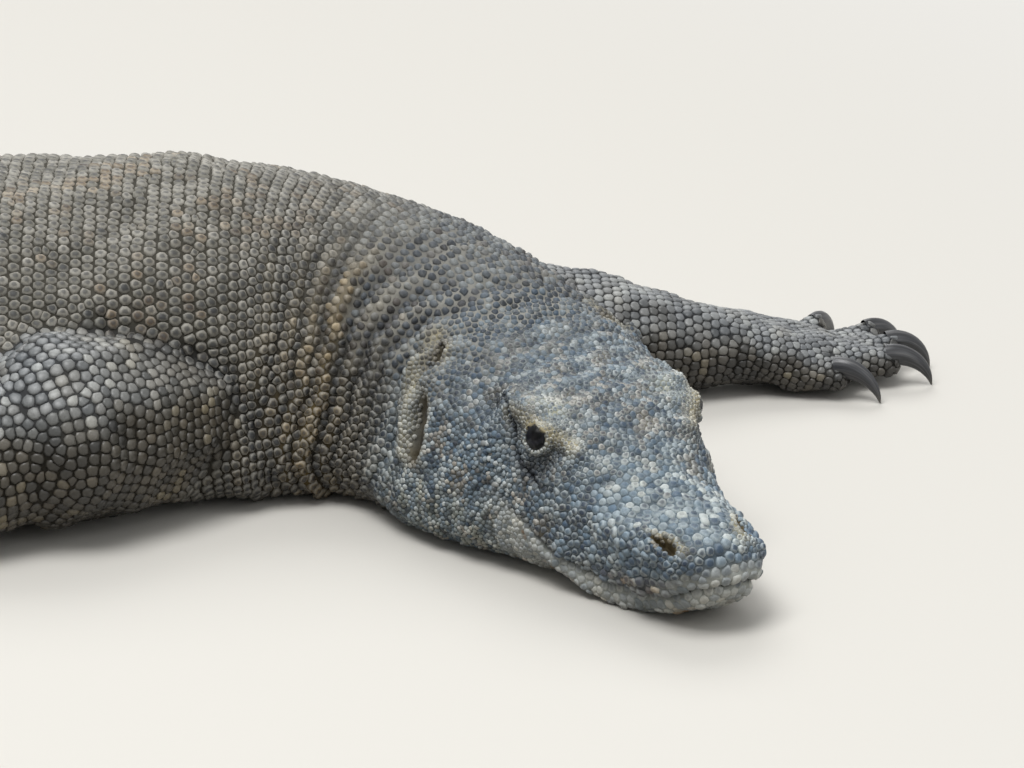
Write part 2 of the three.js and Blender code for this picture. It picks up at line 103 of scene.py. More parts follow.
for name, stand, aim, size, watts in (
    ("lamp_key", (0.25, -1.0, 2.9), (0.7, 0.0, 0.05), 1.5, 62),
    ("lamp_fill", (2.6, -1.7, 1.5), (0.9, -0.1, 0.05), 1.8, 9),
    ("lamp_back", (0.6, 2.2, 2.6), (0.6, 0.0, 0.05), 2.0, 40),
):
    lamp = bpy.data.lights.new(name, "AREA")
    lamp.size, lamp.energy = size, watts
    placed = bpy.data.objects.new(name, lamp)
    placed.location = stand
    placed.rotation_euler = (Vector(aim) - Vector(stand)).to_track_quat("-Z", "Y").to_euler()
    scene.collection.objects.link(placed)


def seen_directly(tree):
    """1 where the lens, or a mirror or glass in front of it, looks at the floor or the room."""
    ray = node(tree, "LightPath").outputs
    seen = ray["Is Camera Ray"]
    for through in ("Is Glossy Ray", "Is Transmission Ray"):
        seen = node(tree, "Math", {0: seen, 1: ray[through]}, operation="MAXIMUM").outputs[0]
    return seen


ROOM_SEEN = "#f2f1ee"
room = bpy.data.worlds.new("room")
room.use_nodes = True
tree = room.node_tree
tree.nodes.clear()
towards = node(tree, "SeparateXYZ", {0: node(tree, "TexCoord").outputs["Generated"]})
ceiling = [(0.0, "#6f7072"), (0.35, "#aaacae"), (1.0, "#f7f8f9")]  # even light, most from overhead
ceiling = node(tree, "ValToRGB", {"Fac": towards.outputs["Z"]}, stops=ceiling)
room_light = node(tree, "Background", {"Color": ceiling.outputs["Color"], "Strength": 0.62})
room_seen = node(tree, "Background", {"Color": linear(ROOM_SEEN), "Strength": 1.0})
room_mix = {0: seen_directly(tree), 1: room_light.outputs[0], 2: room_seen.outputs[0]}
node(tree, "OutputWorld", {"Surface": node(tree, "MixShader", room_mix).outputs[0]})
scene.world = room

# matt studio floor paint, rolled on: even, with no gloss. It throws little light back up, and
# passes into the pale room well away from the model
HALF_FLOOR = 14.0
FADE_FROM, FADE_TO = 1.1, 1.9  # distances from the middle of the floor
floor_paint, out = new_material("floor_paint")
tree = floor_paint.node_tree
paint = {0: seen_directly(tree), 6: linear("#8c8881"), 7: linear("#dad7d0")}
paint = node(tree, "Mix", paint, data_type="RGBA").outputs[2]
paint = {"Base Color": paint, "Roughness": 0.9, "Specular IOR Level": 0.2}
paint = node(tree, "BsdfPrincipled", paint)
where = node(tree, "NewGeometry").outputs["Position"]
away = node(tree, "VectorMath", {0: where}, operation="LENGTH").outputs["Value"]
away = {"Value": away, 1: FADE_FROM, 2: FADE_TO}
away = node(tree, "MapRange", away, interpolation_type="SMOOTHSTEP")
away = node(tree, "Math", {0: away.outputs[0], 1: seen_directly(tree)}, operation="MULTIPLY")
beyond = node(tree, "Emission", {"Color": linear(ROOM_SEEN), "Strength": 1.0})
floor_look = {0: away.outputs[0], 1: paint.outputs[0], 2: beyond.outputs[0]}
tree.links.new(node(tree, "MixShader", floor_look).outputs[0], out.inputs["Surface"])
floor_mesh = bpy.data.meshes.new("floor")
corners = [(x * HALF_FLOOR, y * HALF_FLOOR, 0) for x, y in ((-1, -1), (1, -1), (1, 1), (-1, 1))]
floor_mesh.from_pydata(corners, [], [(0, 1, 2, 3)])
floor_mesh.materials.append(floor_paint)
floor = bpy.data.objects.new("floor", floor_mesh)
scene.collection.objects.link(floor)

# ---- Skin: its ground shape ---------------------------------------------------------------------
# One unbroken skin over head, trunk, tail and limbs. The solids of flesh are welded into one body,
# remeshed in small even faces and smoothed. All lengths from here on are in millimetres.
HEAD, NECK, TRUNK, HIPS, TAIL = 208.0, 198.0, 700.0, 70.0, 1300.0
SHOULDER = HEAD + NECK  # distances behind the snout tip along the body
HIP = SHOULDER + TRUNK
VENT = HIP + HIPS
TIP = VENT + TAIL
TURNS = [  # from, to, degrees that the body turns there, seen from above
    (TIP, VENT + 820, 62),
    (VENT + 760, VENT + 60, -52),
    (VENT, SHOULDER + 260, 10),
    (SHOULDER - 5, HEAD - 15, -60),
]
HEIGHTS = [(0, 38), (198, 60.1), (268, 70), (406, 66), (556, 60), (956, 60), (1176, 52)]
HEIGHTS += [(1676, 34), (2176, 14), (2476, 4.5)]
EYE_AT = np.array([114.0, 40.0, 22.0])  # behind the tip, to the side, above the centreline
EYE_RADIUS, EYE_LIFT = 9.5, 1.8  # the eyeball stands this much higher in its socket
COARSE_MM = 4.4  # skin faces of the trunk
SIDES = (("left", 1), ("right", -1))

BODY = ["head", "lower_jaw", "neck", "chest", "belly", "hips"] + [f"tail_{i}" for i in range(1, 6)]
LIMB_NODES = {
    "arm": ("upper_arm", "forearm", "hand"),
    "leg": ("thigh", "shank", "foot"),
}
FLESH = BODY + [f"{p}_{side}" for ps in LIMB_NODES.values() for p in ps for side, _ in SIDES]


def ease(x, low, high):
    """0 below low, 1 above high and smooth between."""
    t = np.clip((np.asarray(x, float) - low) / (high - low), 0, 1)
    return t * t * (3 - 2 * t)


def fade(x, low, high):
    """1 below low, 0 above high and smooth between."""
    return 1 - ease(x, low, high)


def bell(x, wide):
    """1 at zero, fading out on both sides over the given width."""
    return np.exp(-((x / wide) ** 2))


def unit(v):
    return v / np.maximum(np.linalg.norm(v, axis=-1, keepdims=True), 1e-9)


def turned(s):
    """Degrees that the body has turned at a distance behind the snout tip."""
    return sum(turn * fade(s, to, start) for start, to, turn in TURNS)


# The body's centreline as points 2 mm apart, with forward, left and up at each.
STEP = 2.0
LINE_S = np.arange(-20, TIP + 21, STEP)
angle = np.radians(turned(LINE_S) - turned(SHOULDER))
line_z = np.interp(LINE_S, *zip(*HEIGHTS))
soft = np.convolve(np.pad(line_z, 12, mode="edge"), np.ones(25) / 25, mode="valid")
line_z = np.where(LINE_S < 190, line_z, soft)
middle_angle = (angle[1:] + angle[:-1]) / 2
line_x = -np.concatenate([[0], np.cumsum(np.cos(middle_angle) * STEP)])
line_y = -np.concatenate([[0], np.cumsum(np.sin(middle_angle) * STEP)])
LINE = np.stack([line_x, line_y, line_z], 1)
FORWARD = unit(-np.gradient(LINE, axis=0))
LEFT = unit(np.cross([0, 0, 1.0], FORWARD))
UP = np.cross(FORWARD, LEFT)


def on_line(table, s):
    return np.stack([np.interp(s, LINE_S, table[:, k]) for k in range(3)], -1)


def place(s, side, up):
    """The point this far behind the snout tip, to the left of the line and above it."""
    side, up = np.asarray(side, float)[..., None], np.asarray(up, float)[..., None]
    return on_line(LINE, s) + on_line(LEFT, s) * side + on_line(UP, s) * up


def box_middle(name):
    low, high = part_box(name)
    return np.array((low + high) / 2) * 1000


# The eyes fix where the centreline lies in the frame.
eyes = (box_middle("eye_left") + box_middle("eye_right")) / 2
LINE[:, :2] += (eyes - place(EYE_AT[0], 0.0, EYE_AT[2]))[:2]


def body_place(points):
    """Distance behind the snout tip, offset to the left and height over the line of each point."""
    nearest = np.empty(len(points), int)
    plan = LINE[:, :2]
    own = (plan**2).sum(1)
    for i in range(0, len(points), 8000):
        nearest[i : i + 8000] = np.argmin(own - 2 * points[i : i + 8000, :2] @ plan.T, 1)
    off = points - LINE[nearest]
    along = (off * FORWARD[nearest]).sum(1)
    s = LINE_S[nearest] - along
    off = points - on_line(LINE, s)
    return s, (off * on_line(LEFT, s)).sum(1), (off * on_line(UP, s)).sum(1)


def rows(items, field, width, kind=float):
    """One field of a mesh's points, edges, loops or triangles, as rows of numbers."""
    values = np.empty(len(items) * width, kind)
    items.foreach_get(field, values)
    return values.reshape(-1, width)


def points_of(mesh):
    return rows(mesh.vertices, "co", 3) * 1000


def triangles_of(mesh):
    mesh.calc_loop_triangles()
    return rows(mesh.loop_triangles, "vertices", 3, int)


def solid(name):
    """A solid's points in mm and its triangles, with coincident points welded."""
    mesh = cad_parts[name].data
    co, tri = points_of(mesh), triangles_of(mesh)
    _, first, welded = np.unique(np.round(co, 3), axis=0, return_index=True, return_inverse=True)
    return co[first], welded.reshape(-1)[tri]


def normals_of(co, tri):
    face = np.cross(co[tri[:, 1]] - co[tri[:, 0]], co[tri[:, 2]] - co[tri[:, 0]])
    total = [sum(np.bincount(tri[:, c], face[:, k], len(co)) for c in range(3)) for k in range(3)]
    return unit(np.stack(total, 1))


def make_mesh(name, co, quads=(), tris=()):
    """A smooth-shaded mesh from points in mm, quads and triangles."""
    made = bpy.data.meshes.new(name)
    made.vertices.add(len(co))
    made.vertices.foreach_set("co", (np.asarray(co) * 0.001).astype(np.float32).ravel())
    loops = np.concatenate([np.asarray(quads, int).ravel(), np.asarray(tris, int).ravel()])
    starts = [np.arange(len(quads)) * 4, len(quads) * 4 + np.arange(len(tris)) * 3]
    starts = np.concatenate(starts)
    made.loops.add(len(loops))
    made.loops.foreach_set("vertex_index", loops.astype(np.int32))
    made.polygons.add(len(starts))
    made.polygons.foreach_set("loop_start", starts.astype(np.int32))
    made.update(calc_edges=True)
    made.shade_smooth()
    return made


def show(name, mesh, material):
    """Puts a mesh of the animal in the scene and on its body."""
    made = bpy.data.objects.new(name, mesh)
    scene.collection.objects.link(made)
    mesh.materials.append(material)
    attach(made, "root")
    return made


def store(mesh, name, values):
    """Keeps a number or a vector at each point of a mesh."""
    values = np.asarray(values, np.float32)
    kind, field = ("FLOAT", "value") if values.ndim == 1 else ("FLOAT_VECTOR", "vector")
    mesh.attributes.new(name, kind, "POINT").data.foreach_set(field, values.ravel())


def tube(rings, corners):
    """Quads round a tube of rings of points, and triangles from its last ring to the one point
    that follows it."""
    grid = np.arange(rings * corners).reshape(rings, corners)
    a, b = grid[:-1], np.roll(grid[:-1], -1, 1)
    quads = np.stack([a, b, b + corners, a + corners], -1).reshape(-1, 4)
    tip = np.full(corners, rings * corners)
    return quads, np.stack([grid[-1], np.roll(grid[-1], -1), tip], 1)


def rough_ball(middle, radius, rings=6, corners=10):
    """A rough ball, used to fill the hollow that a claw's root leaves in its digit."""
    turn = np.arange(corners) / corners * 2 * np.pi
    turn, tilt = np.meshgrid(turn, np.linspace(-1.35, 1.35, rings))
    co = np.stack([np.cos(tilt) * np.cos(turn), np.cos(tilt) * np.sin(turn), np.sin(tilt)], -1)
    quads, _ = tube(rings, corners)
    top = (rings - 1) * corners
    caps = [[0, k + 1, k] for k in range(1, corners - 1)]
    caps += [[top, top + k, top + k + 1] for k in range(1, corners - 1)]
    tri = np.concatenate([quads[:, [0, 1, 2]], quads[:, [0, 2, 3]], caps])
    return middle + co.reshape(-1, 3) * radius, tri


def joined(solids):
    """The points and the triangles of several solids as one."""
    starts = np.cumsum([0] + [len(co) for co, _ in solids])
    tri = [tri + start for (_, tri), start in zip(solids, starts)]
    return np.concatenate([co for co, _ in solids]), np.concatenate(tri)


# Each claw's root, the way it points seen from above, and its reach from root to tip.
Claw = namedtuple("Claw", "name limb side number root way reach")
claws = []
for limb, (_, _, paw) in LIMB_NODES.items():
    for side, _ in SIDES:
        palm = box_middle(f"{paw}_{side}")
        for i in range(1, 6):
            name = f"claw_{paw}_{side}_{i}"
            co, _ = solid(name)
            flat = co[:, :2] - co[:, :2].mean(0)
            way = np.linalg.eigh(flat.T @ flat)[1][:, -1]
            way *= np.sign(way @ (co[:, :2].mean(0) - palm[:2]))
            reach = co[:, :2] @ way
            root = co[reach < reach.min() + 1.0].mean(0)
            claws.append(Claw(name, limb, side, i, root, np.array([*way, 0.0]), np.ptp(reach)))

WELD = 0.6  # each solid is grown this much, so that the gaps between them close
CLAW_FILL = 8.5  # radius of the ball that fills the hollow round a claw's root
filled = [f"{n}_{side}" for n in ("eye", "ear_drum") for side, _ in SIDES]
grown = [solid(name) for name in FLESH + filled]
grown = [(co + normals_of(co, tri) * WELD, tri) for co, tri in grown]
labels = np.concatenate([np.full(len(tri), k) for k, (_, tri) in enumerate(grown[: len(FLESH)])])
flesh_co, flesh_tri = joined(grown[: len(FLESH)])
flesh_tree = BVHTree.FromPolygons(flesh_co.tolist(), flesh_tri.tolist())
grown += [rough_ball(claw.root - claw.way * 2 + [0, 0, -1], CLAW_FILL) for claw in claws]
welded_co, welded_tri = joined(grown)
rough = bpy.data.objects.new("rough", make_mesh("welded", welded_co, tris=welded_tri))
scene.collection.objects.link(rough)
remesh = rough.modifiers.new("remesh", "REMESH")
remesh.mode, remesh.voxel_size = "VOXEL", COARSE_MM / 1000
graph = bpy.context.evaluated_depsgraph_get()
skin_mesh = bpy.data.meshes.new_from_object(rough.evaluated_get(graph))
bpy.data.objects.remove(rough)


def edges_of(mesh):
    return rows(mesh.edges, "vertices", 2, int)


def set_points(mesh, co):
    mesh.vertices.foreach_set("co", (co * 0.001).astype(np.float32).ravel())
    mesh.update()


def smoothed(co, edges, rounds, weight=1.0):
    """Evens out small bumps without shrinking the form: each pull inwards is followed by a push
    back out."""
    a, b = edges.T
    n = len(co)
    count = np.maximum(np.bincount(a, minlength=n) + np.bincount(b, minlength=n), 1)
    weight = np.broadcast_to(weight, n)[:, None]
    for i in range(rounds):
        mean = [np.bincount(a, co[b, k], n) + np.bincount(b, co[a, k], n) for k in range(3)]
        pull = 0.55 if i % 2 == 0 else -0.5
        co = co + pull * weight * (np.stack(mean, 1) / count[:, None] - co)
    return co


co = points_of(skin_mesh)
s, side, up = body_place(co)
on_body = np.array([FLESH[labels[flesh_tree.find_nearest(p)[2]]] in BODY for p in co])
large = np.where(on_body, ease(s, 190, 260), 0.35)
co = smoothed(co, edges_of(skin_mesh), 60, large)
co = smoothed(co, edges_of(skin_mesh), 10, 1.0)
set_points(skin_mesh, co)


def refine(mesh, wanted):
    """Splits the faces round the wanted points in four."""
    work = bmesh.new()
    work.from_mesh(mesh)
    chosen = [e for e in work.edges if wanted[e.verts[0].index] and wanted[e.verts[1].index]]
    bmesh.ops.subdivide_edges(work, edges=chosen, cuts=1, use_grid_fill=True)
    bmesh.ops.triangulate(work, faces=[f for f in work.faces if len(f.verts) > 4])
    work.to_mesh(mesh)
    work.free()


# Faces are finer where the skin has more to show: first the neck's folds, then the lips, nostrils
# and ears, then the lids.
HEAD_REACH, FOLDS_REACH = 235, 345  # finer faces end this far behind the snout tip
MOUTH_LINE = [(-20, -10), (0, -12), (18, -24), (38, -30), (58, -33), (76, -31), (94, -27)]
MOUTH_LINE += [(110, -16), (128, -8), (146, -5)]
NOSTRIL_AT = np.array([20.5, 24.0, 8.0])
EAR_LINE = np.array([(203, 47, 36), (197, 58, 24), (190, 66, 12), (185, 71, 0), (182, 74, -13)])


def mouth_gap(s, up):
    """Height over the line where the lips meet."""
    return up - np.interp(s, *zip(*MOUTH_LINE))


def mirrored(s, side, up):
    """Body places with the offset to the side always positive, as both sides are alike."""
    return np.stack([s, np.abs(side), up], 1)


def apart(points, at, stretch=1.0):
    """Distance of each point from a place, counted shorter along the stretched ways."""
    return np.linalg.norm((points - at) / stretch, axis=1)


def away_from(points, line):
    """Distance to a line of points, and how far along it (0 to 1) the nearest place is."""
    best, along = np.full(len(points), 1e9), np.zeros(len(points))
    for i in range(len(line) - 1):
        a, d = line[i], line[i + 1] - line[i]
        t = np.clip(((points - a) @ d) / (d @ d), 0, 1)
        dist = np.linalg.norm(points - a - t[:, None] * d, axis=1)
        near = dist < best
        best = np.where(near, dist, best)
        along = np.where(near, (i + t) / (len(line) - 1), along)
    return best, along


def near_line(points, line, wide):
    """1 on a line of points, fading out over the given width."""
    return bell(away_from(points, line)[0], wide)


def is_head(co, h, reach=HEAD_REACH):
    return (h[:, 0] < reach) & (h[:, 1] < 110) & (co[:, 2] < 170)


def finer(wanted, rounds, reach=HEAD_REACH):
    """Splits the wanted faces, evens out the head and gives its new points and their places."""
    refine(skin_mesh, wanted)
    co = points_of(skin_mesh)
    on_head = is_head(co, mirrored(*body_place(co)), reach)
    co = smoothed(co, edges_of(skin_mesh), rounds, on_head * 1.0)
    set_points(skin_mesh, co)
    return co, mirrored(*body_place(co))


h = mirrored(*body_place(co))
co, h = finer(is_head(co, h, FOLDS_REACH), 14, FOLDS_REACH)
fine = (np.abs(mouth_gap(h[:, 0], h[:, 2])) < 8) & (h[:, 0] < 140)
fine |= (apart(h, EYE_AT) < 30) | (apart(h, NOSTRIL_AT) < 14) | (away_from(h, EAR_LINE)[0] < 16)
fine |= (np.abs(h[:, 0] - 142) < 40) & (np.abs(h[:, 2] - 3) < 26)  # cheek
co, h = finer(fine & is_head(co, h), 8)
fine = (apart(h, EYE_AT) < 17) | (apart(h, NOSTRIL_AT) < 10)
refine(skin_mesh, fine & is_head(co, h))
co = points_of(skin_mesh)

# ---- Skin: its modelling ------------------------------------------------------------------------
# Brow ridges, lids, nostrils, lips, ear slits, neck folds and creases are pressed into the skin the
# way a modeller works wax. Each is a hill or a hollow along a line given in the head's own places.
COAT_MM = 1.1  # the skin lies this far inside the outer surface, for the scales to stand on
BROW_LINE = [(92, 34, 26), (102, 40, 29), (114, 46, 32.5), (126, 47.5, 33.5)]
BROW_LINE = np.array(BROW_LINE + [(138, 46, 33.5), (145, 42, 33)])
CANTHUS = np.array([(42, 27, 11), (62, 31, 16), (88, 36, 26)])
LID_FOLD = [(146, 44, 32), (138, 46, 31.6), (134, 48, 29), (128, 49, 22), (126, 49, 14)]
LID_FOLD = np.array(LID_FOLD + [(120, 50, 9), (112, 49, 6), (104, 49, 4), (94, 47, 5)])
ARM_CREASE = [(442, -102, 34), (402, -101, 20), (380, -99, 5), (360, -100, -24), (348, -96, -51)]
ARM_CREASE = np.array(ARM_CREASE)
BLADE_CREASE = np.array([(496, -94, 51), (450, -71, 67), (414, -17, 85)])
HEAD_LINES = (  # line on the head, how far it stands out (+) or in (-), half width
    (BROW_LINE, 3.9, 6.4),
    (BROW_LINE - [2, 1, 7.5], -1.5, 2.4),
    (CANTHUS, 1.1, 6.0),
    (LID_FOLD, -3.2, 1.5),
    (LID_FOLD + [3.2, 0, -1], 1.3, 2.2),
    (EAR_LINE + [-6, 0, 0], 1.4, 4.5),
    (EAR_LINE + [11, 0, 0], 3.2, 5.5),
    (EAR_LINE + [22, 0, -3], -2.4, 4.0),
)
HEAD_SPOTS = (  # middle, stretch, how far it stands out (+) or in (-), half width
    ((124, 41, 38), (1.5, 1, 1), 3.4, 10),  # shield of the brow
    ((130, 48.5, 27), 1.0, -1.6, 5),  # rear corner of the eye
    ((151, 45, 27), 1.0, -2.2, 8),  # temple
)
NECK_FOLDS = [  # place at mid height, slope with height, how far it stands out, half width
    (214, -0.30, 3.0, 7.0),
    (231, -0.26, 3.6, 6.5),
    (248, -0.22, 4.6, 7.5),
    (270, -0.18, 4.4, 7.5),
    (295, -0.16, 6.4, 9.0),
    (317, -0.14, 4.0, 8.0),
    (338, -0.12, 3.4, 9.0),
    (362, -0.10, 2.6, 10.0),
]


def waves(points, size, seed):
    """Smooth uneven values between about -1 and 1, from a few crossing waves."""
    rng = np.random.default_rng(seed)
    total = 0
    for k in range(7):
        way = unit(rng.normal(size=3)) / size * rng.uniform(0.7, 1.5)
        total = total + np.sin(points @ way * 2 * np.pi + rng.uniform(0, 6.28))
    return total / 2.9


NOSTRIL_OUT = unit(np.array([-0.35, 0.545, 0.76]))
NOSTRIL_DOWN = unit(np.array([-15.1, -4.5, -3.7]))
NOSTRIL_WIDE = np.cross(NOSTRIL_OUT, NOSTRIL_DOWN)
EAR_SLIT = 1.8  # half width of the ear's slit at its top


def nostril_rim(h):
    """Size of the nostril's slanting oval at each point: 1 on its rim."""
    q = h - NOSTRIL_AT
    far = 1 + np.maximum(np.abs(q @ NOSTRIL_OUT) - 9, 0)
    narrow = 3.1 + 0.12 * q @ NOSTRIL_DOWN  # pointed towards the rear
    return np.hypot(q @ NOSTRIL_DOWN / 8.2, q @ NOSTRIL_WIDE / np.maximum(narrow, 1.2)) * far


# Each eye's middle, its gaze, the way up its lids and the way forward along them.
eye_s = np.array([EYE_AT[0]])
ahead, left, upward = (on_line(t, eye_s)[0] for t in (FORWARD, LEFT, UP))
EYES = {}
for side_name, way in SIDES:
    gaze = unit(way * left * 0.80 + ahead * 0.27 + upward * 0.50)
    rise = unit(upward - gaze * (upward @ gaze))
    fore = np.cross(gaze, rise) * way
    middle = box_middle("eye_" + side_name) + upward * EYE_LIFT - way * left * 0.4
    EYES[side_name] = (middle, gaze, rise, fore)


def lid_place(points):
    """Places on the lids of the nearer eye: distance from the eyeball's middle, how far the point
    faces the gaze, how far out from the opening it lies (1 on its edge) and how far up."""
    best = None
    for middle, gaze, rise, fore in EYES.values():
        off = points - middle
        away = np.maximum(np.linalg.norm(off, axis=1), 1e-6)
        x, y = off @ fore, off @ rise
        rounded = np.hypot(x / 5.2, (y + 0.3) / 6.0)
        cut = 1 + (y - (3.9 - 0.42 * x)) / 4.5  # the upper lid's edge slants down to the front
        found = np.stack([away, off @ gaze / away, np.maximum(rounded, cut), y], 1)
        best = found if best is None else np.where((away < best[:, 0])[:, None], found, best)
    return best.T


def neck_folds(co, s, side, up):
    """Height of the neck's folds: deep where it bends to the animal's right, slight on the left."""
    steep = np.arctan2(up, np.abs(side))
    inner = np.where(side < 0, 1.0, 0.35) * (1 - 0.8 * ease(steep, 0.6, 1.25))
    wander = 5 * waves(co, 90, 8) + 2.5 * waves(co, 32, 9)
    height = 0
    for at, slope, high, wide in NECK_FOLDS:
        height = height + high * bell(s - at - slope * up - wander, wide)
    return inner * (height - 2.2 * ease(s, 205, 235) * fade(s, 330, 380))


def relief(co, h, s, side, up, limb):
    """How far each point of skin is pressed out (+) or in (-)."""
    head = is_head(co, h) & ~limb
    gap = mouth_gap(h[:, 0], h[:, 2])
    lips = head * fade(h[:, 0], 90, 114)
    press = lips * (1.0 * bell(gap - 4.6, 2.8) + 1.3 * bell(gap + 4.8, 3.4) - 2.6 * bell(gap, 1.2))
    press += lips * 6.8 * bell(gap + 7.0, 4.8) * bell(h[:, 0] - 64, 28)  # the lower lip's roll
    for line, high, wide in HEAD_LINES:
        press += head * high * near_line(h, line, wide)
    for at, stretch, high, wide in HEAD_SPOTS:
        press += head * high * bell(apart(h, at, stretch), wide)
    rim = nostril_rim(h)
    hood = 1 + 0.5 * np.clip(((h - NOSTRIL_AT) @ NOSTRIL_WIDE) / 4, -1, 1)
    press -= head * 6.2 * fade(rim, 0.7, 1.08)
    press += head * 1.3 * hood * bell(rim - 1.5, 0.4)
    dist, along = away_from(h, EAR_LINE)
    width = EAR_SLIT + 3.8 * np.sin(np.pi * np.clip(along, 0.04, 0.96)) * (0.5 + along)
    press -= head * 7.5 * bell(dist, width) * (along > 0.0) * (along < 1.0)
    top = ease(up, 10, 40) * head
    press += top * 1.5 * bell(h[:, 1] - 28, 12) * bell(h[:, 0] - 168, 26)
    press -= top * 1.2 * bell(h[:, 1], 9) * bell(h[:, 0] - 60, 30)
    press += head * (0.8 * waves(co, 17, 3) + 0.45 * waves(co, 8, 4))
    # fine wrinkles of the cheek and under the eye, running down and back from it
    from_eye = apart(h, EYE_AT)
    round_eye = np.arctan2(h[:, 2] - EYE_AT[2], h[:, 0] - EYE_AT[0])
    cheek = head * bell(h[:, 0] - 132, 26) * ease(-up, -26, -8) * ease(from_eye, 12, 18)
    press += cheek * 0.8 * np.sin(round_eye * 46 + 2.5 * waves(co, 26, 5))
    under = head * bell(apart(h, (110, 48, 12)), 9)
    press += under * 0.45 * np.sin(h[:, 0] / 2.6 * 2 * np.pi + waves(co, 12, 6))

    press += neck_folds(co, s, side, up) * ~limb
    body = ~limb & (s > 215)
    place_on = np.stack([s, side, up], 1)
    press -= body * 5.0 * near_line(place_on, ARM_CREASE, 7)
    press -= body * 2.0 * near_line(place_on, BLADE_CREASE, 12)
    trunk = body * ease(s, 330, 420)
    press += trunk * (1.8 * waves(co, 120, 11) + 1.0 * waves(co, 48, 12))
    # soft hoops of slack skin low on the flanks
    low = ease(-up, -30, 20) * body * fade(s, 1000, 1180)
    press += low * 1.6 * np.sin((s + 10 * waves(co, 140, 14)) / 27 * 2 * np.pi) * ease(s, 380, 460)
    tail = ~limb & (s > VENT)
    press += tail * 2.0 * bell(np.abs(side) - 5, 4) * ease(up, 10, 24) * fade(s, 2000, 2350)
    press += limb * (1.3 * waves(co, 42, 15) + 0.7 * waves(co, 20, 16))
    return press


LID_MM = 0.4  # thickness of the lids over the eyeball


def set_lids(co):
    """Lids close round each eyeball, leaving an opening shaped like a slanting D."""
    for middle, gaze, _, _ in EYES.values():
        off = co - middle
        away = np.maximum(np.linalg.norm(off, axis=1), 1e-6)
        facing = off @ gaze / away
        edge = lid_place(co)[2]
        lid = EYE_RADIUS + LID_MM
        share = fade(away, lid, 18) * ease(facing, 0.0, 0.35)
        hole = fade(edge, 0.95, 1.06) * (facing > 0.3)
        radius = np.maximum(away, lid) + 0.5 * bell(edge - 1.22, 0.15) * (facing > 0.3)
        radius = radius * (1 - hole) + (EYE_RADIUS - 5.2) * hole
        amount = np.where((away < 19) & (facing > 0.0), np.maximum(share, hole), 0)[:, None]
        co = co * (1 - amount) + (middle + off * (radius / away)[:, None]) * amount
    return co


def spread(values, edges, rounds):
    """Blurs a measure over the skin, so that one kind of hide passes into the next."""
    a, b = edges.T
    count = np.bincount(a, minlength=len(values)) + np.bincount(b, minlength=len(values))
    for _ in range(rounds):
        total = np.bincount(a, values[b], len(values)) + np.bincount(b, values[a], len(values))
        values = 0.5 * values + 0.5 * total / np.maximum(count, 1)
    return values


def carried(at, face, values):
    """A measure kept at the skin's points, at places on its faces."""
    a, b, c = (co[skin_tri[face, k]] for k in range(3))
    b, c, at = b - a, c - a, at - a
    bb, bc, cc, pb, pc = ((m * n).sum(1) for m, n in ((b, b), (b, c), (c, c), (at, b), (at, c)))
    under = np.maximum(bb * cc - bc * bc, 1e-9)
    v, w = (cc * pb - bc * pc) / under, (bb * pc - bc * pb) / under
    share = np.clip(np.stack([1 - v - w, v, w], 1), 0, 1)
    share /= share.sum(1, keepdims=True)
    return (values[skin_tri[face]] * share[..., None]).sum(1)


skin_label = np.array([labels[flesh_tree.find_nearest(p)[2]] for p in co])
limb = skin_label >= len(BODY)
s, side, up = body_place(co)
h = mirrored(s, side, up)
skin_tri = triangles_of(skin_mesh)
skin_edges = edges_of(skin_mesh)
normal = normals_of(co, skin_tri)
co = co + normal * (relief(co, h, s, side, up, limb) - COAT_MM - WELD * 0.5)[:, None]
co = smoothed(co, skin_edges, 2, np.where(is_head(co, h) & ~limb, 0.3, 0.8))
co = set_lids(co)
# the muzzle is slimmer than its rough form, and leans a little to the animal's right
slim = fade(s, 55, 104) * ~limb
lean = 0.06 * side - 0.8 + 6.4 * ease(up, -14, 10)
co -= on_line(LEFT, s) * (slim * lean)[:, None]
co[:, 2] = np.maximum(co[:, 2], 0.9)
set_points(skin_mesh, co)
skin_mesh.shade_smooth()
skin_normal = normals_of(co, skin_tri)
skin_tree = BVHTree.FromPolygons(co.tolist(), skin_tri.tolist())
limb_share = spread(limb * 1.0, skin_edges, 40)
skin_place = np.stack([s, side, up, limb_share], 1)  # measured before the last changes of form

# ---- Markings -----------------------------------------------------------------------------------
# Where the hide is blue grey, rusty, cream or dark, and where light and shade are painted into it.
# Skin and scales read the same measures, so both carry the same markings; every mark is worked
# out from the place on the body, never drawn.
BAND_LINE = np.array([(133, 48, 30), (123, 48, 31), (113, 45, 30), (103, 39, 27.5), (96, 34, 25)])
HOLLOWS = (((130, 48, 27), 5), ((151, 45, 28), 8), ((112, 48.5, 10), 8), ((101, 46, 16), 7))
BLUE_SPOTS = (  # middle, stretch, half width, share
    ((64, 34, -8), (1.6, 1, 1.1), 16, 1.0),
    ((4, 2, -1), 1.0, 9, 0.8),
    ((146, 54, 6), 1.0, 16, 0.5),
)


def mottle(points):
    """Uneven light and dark patches of the hide, about 55 and 15 mm across."""
    return 0.5 + 0.15 * waves(points, 15, 41) + 0.10 * waves(points, 55, 42)


def nape_share(s, up, co):
    """Where dark beads stand apart on paler skin: over the nape and the back of the head."""
    share = ease(s + 8 * waves(co, 26, 52), 146, 206) * fade(s, 268, 345)
    return share * ease(up + 6 * waves(co, 30, 53), -14, 34)


# The shoulders' middle on the floor, and the right shoulder's joint over it.
MID_SHOULDER = place(np.array([SHOULDER]), 0.0, 0.0)[0] * [1, 1, 0]
RIGHT_SHOULDER = MID_SHOULDER + [30, -46, 42]


def cheek_share(s, up):
    """Where fine granules lie in wrinkles: on the cheek, from the eye back to the ear."""
    return ease(s, 92, 122) * fade(s, 178, 200) * fade(up, 4, 26)


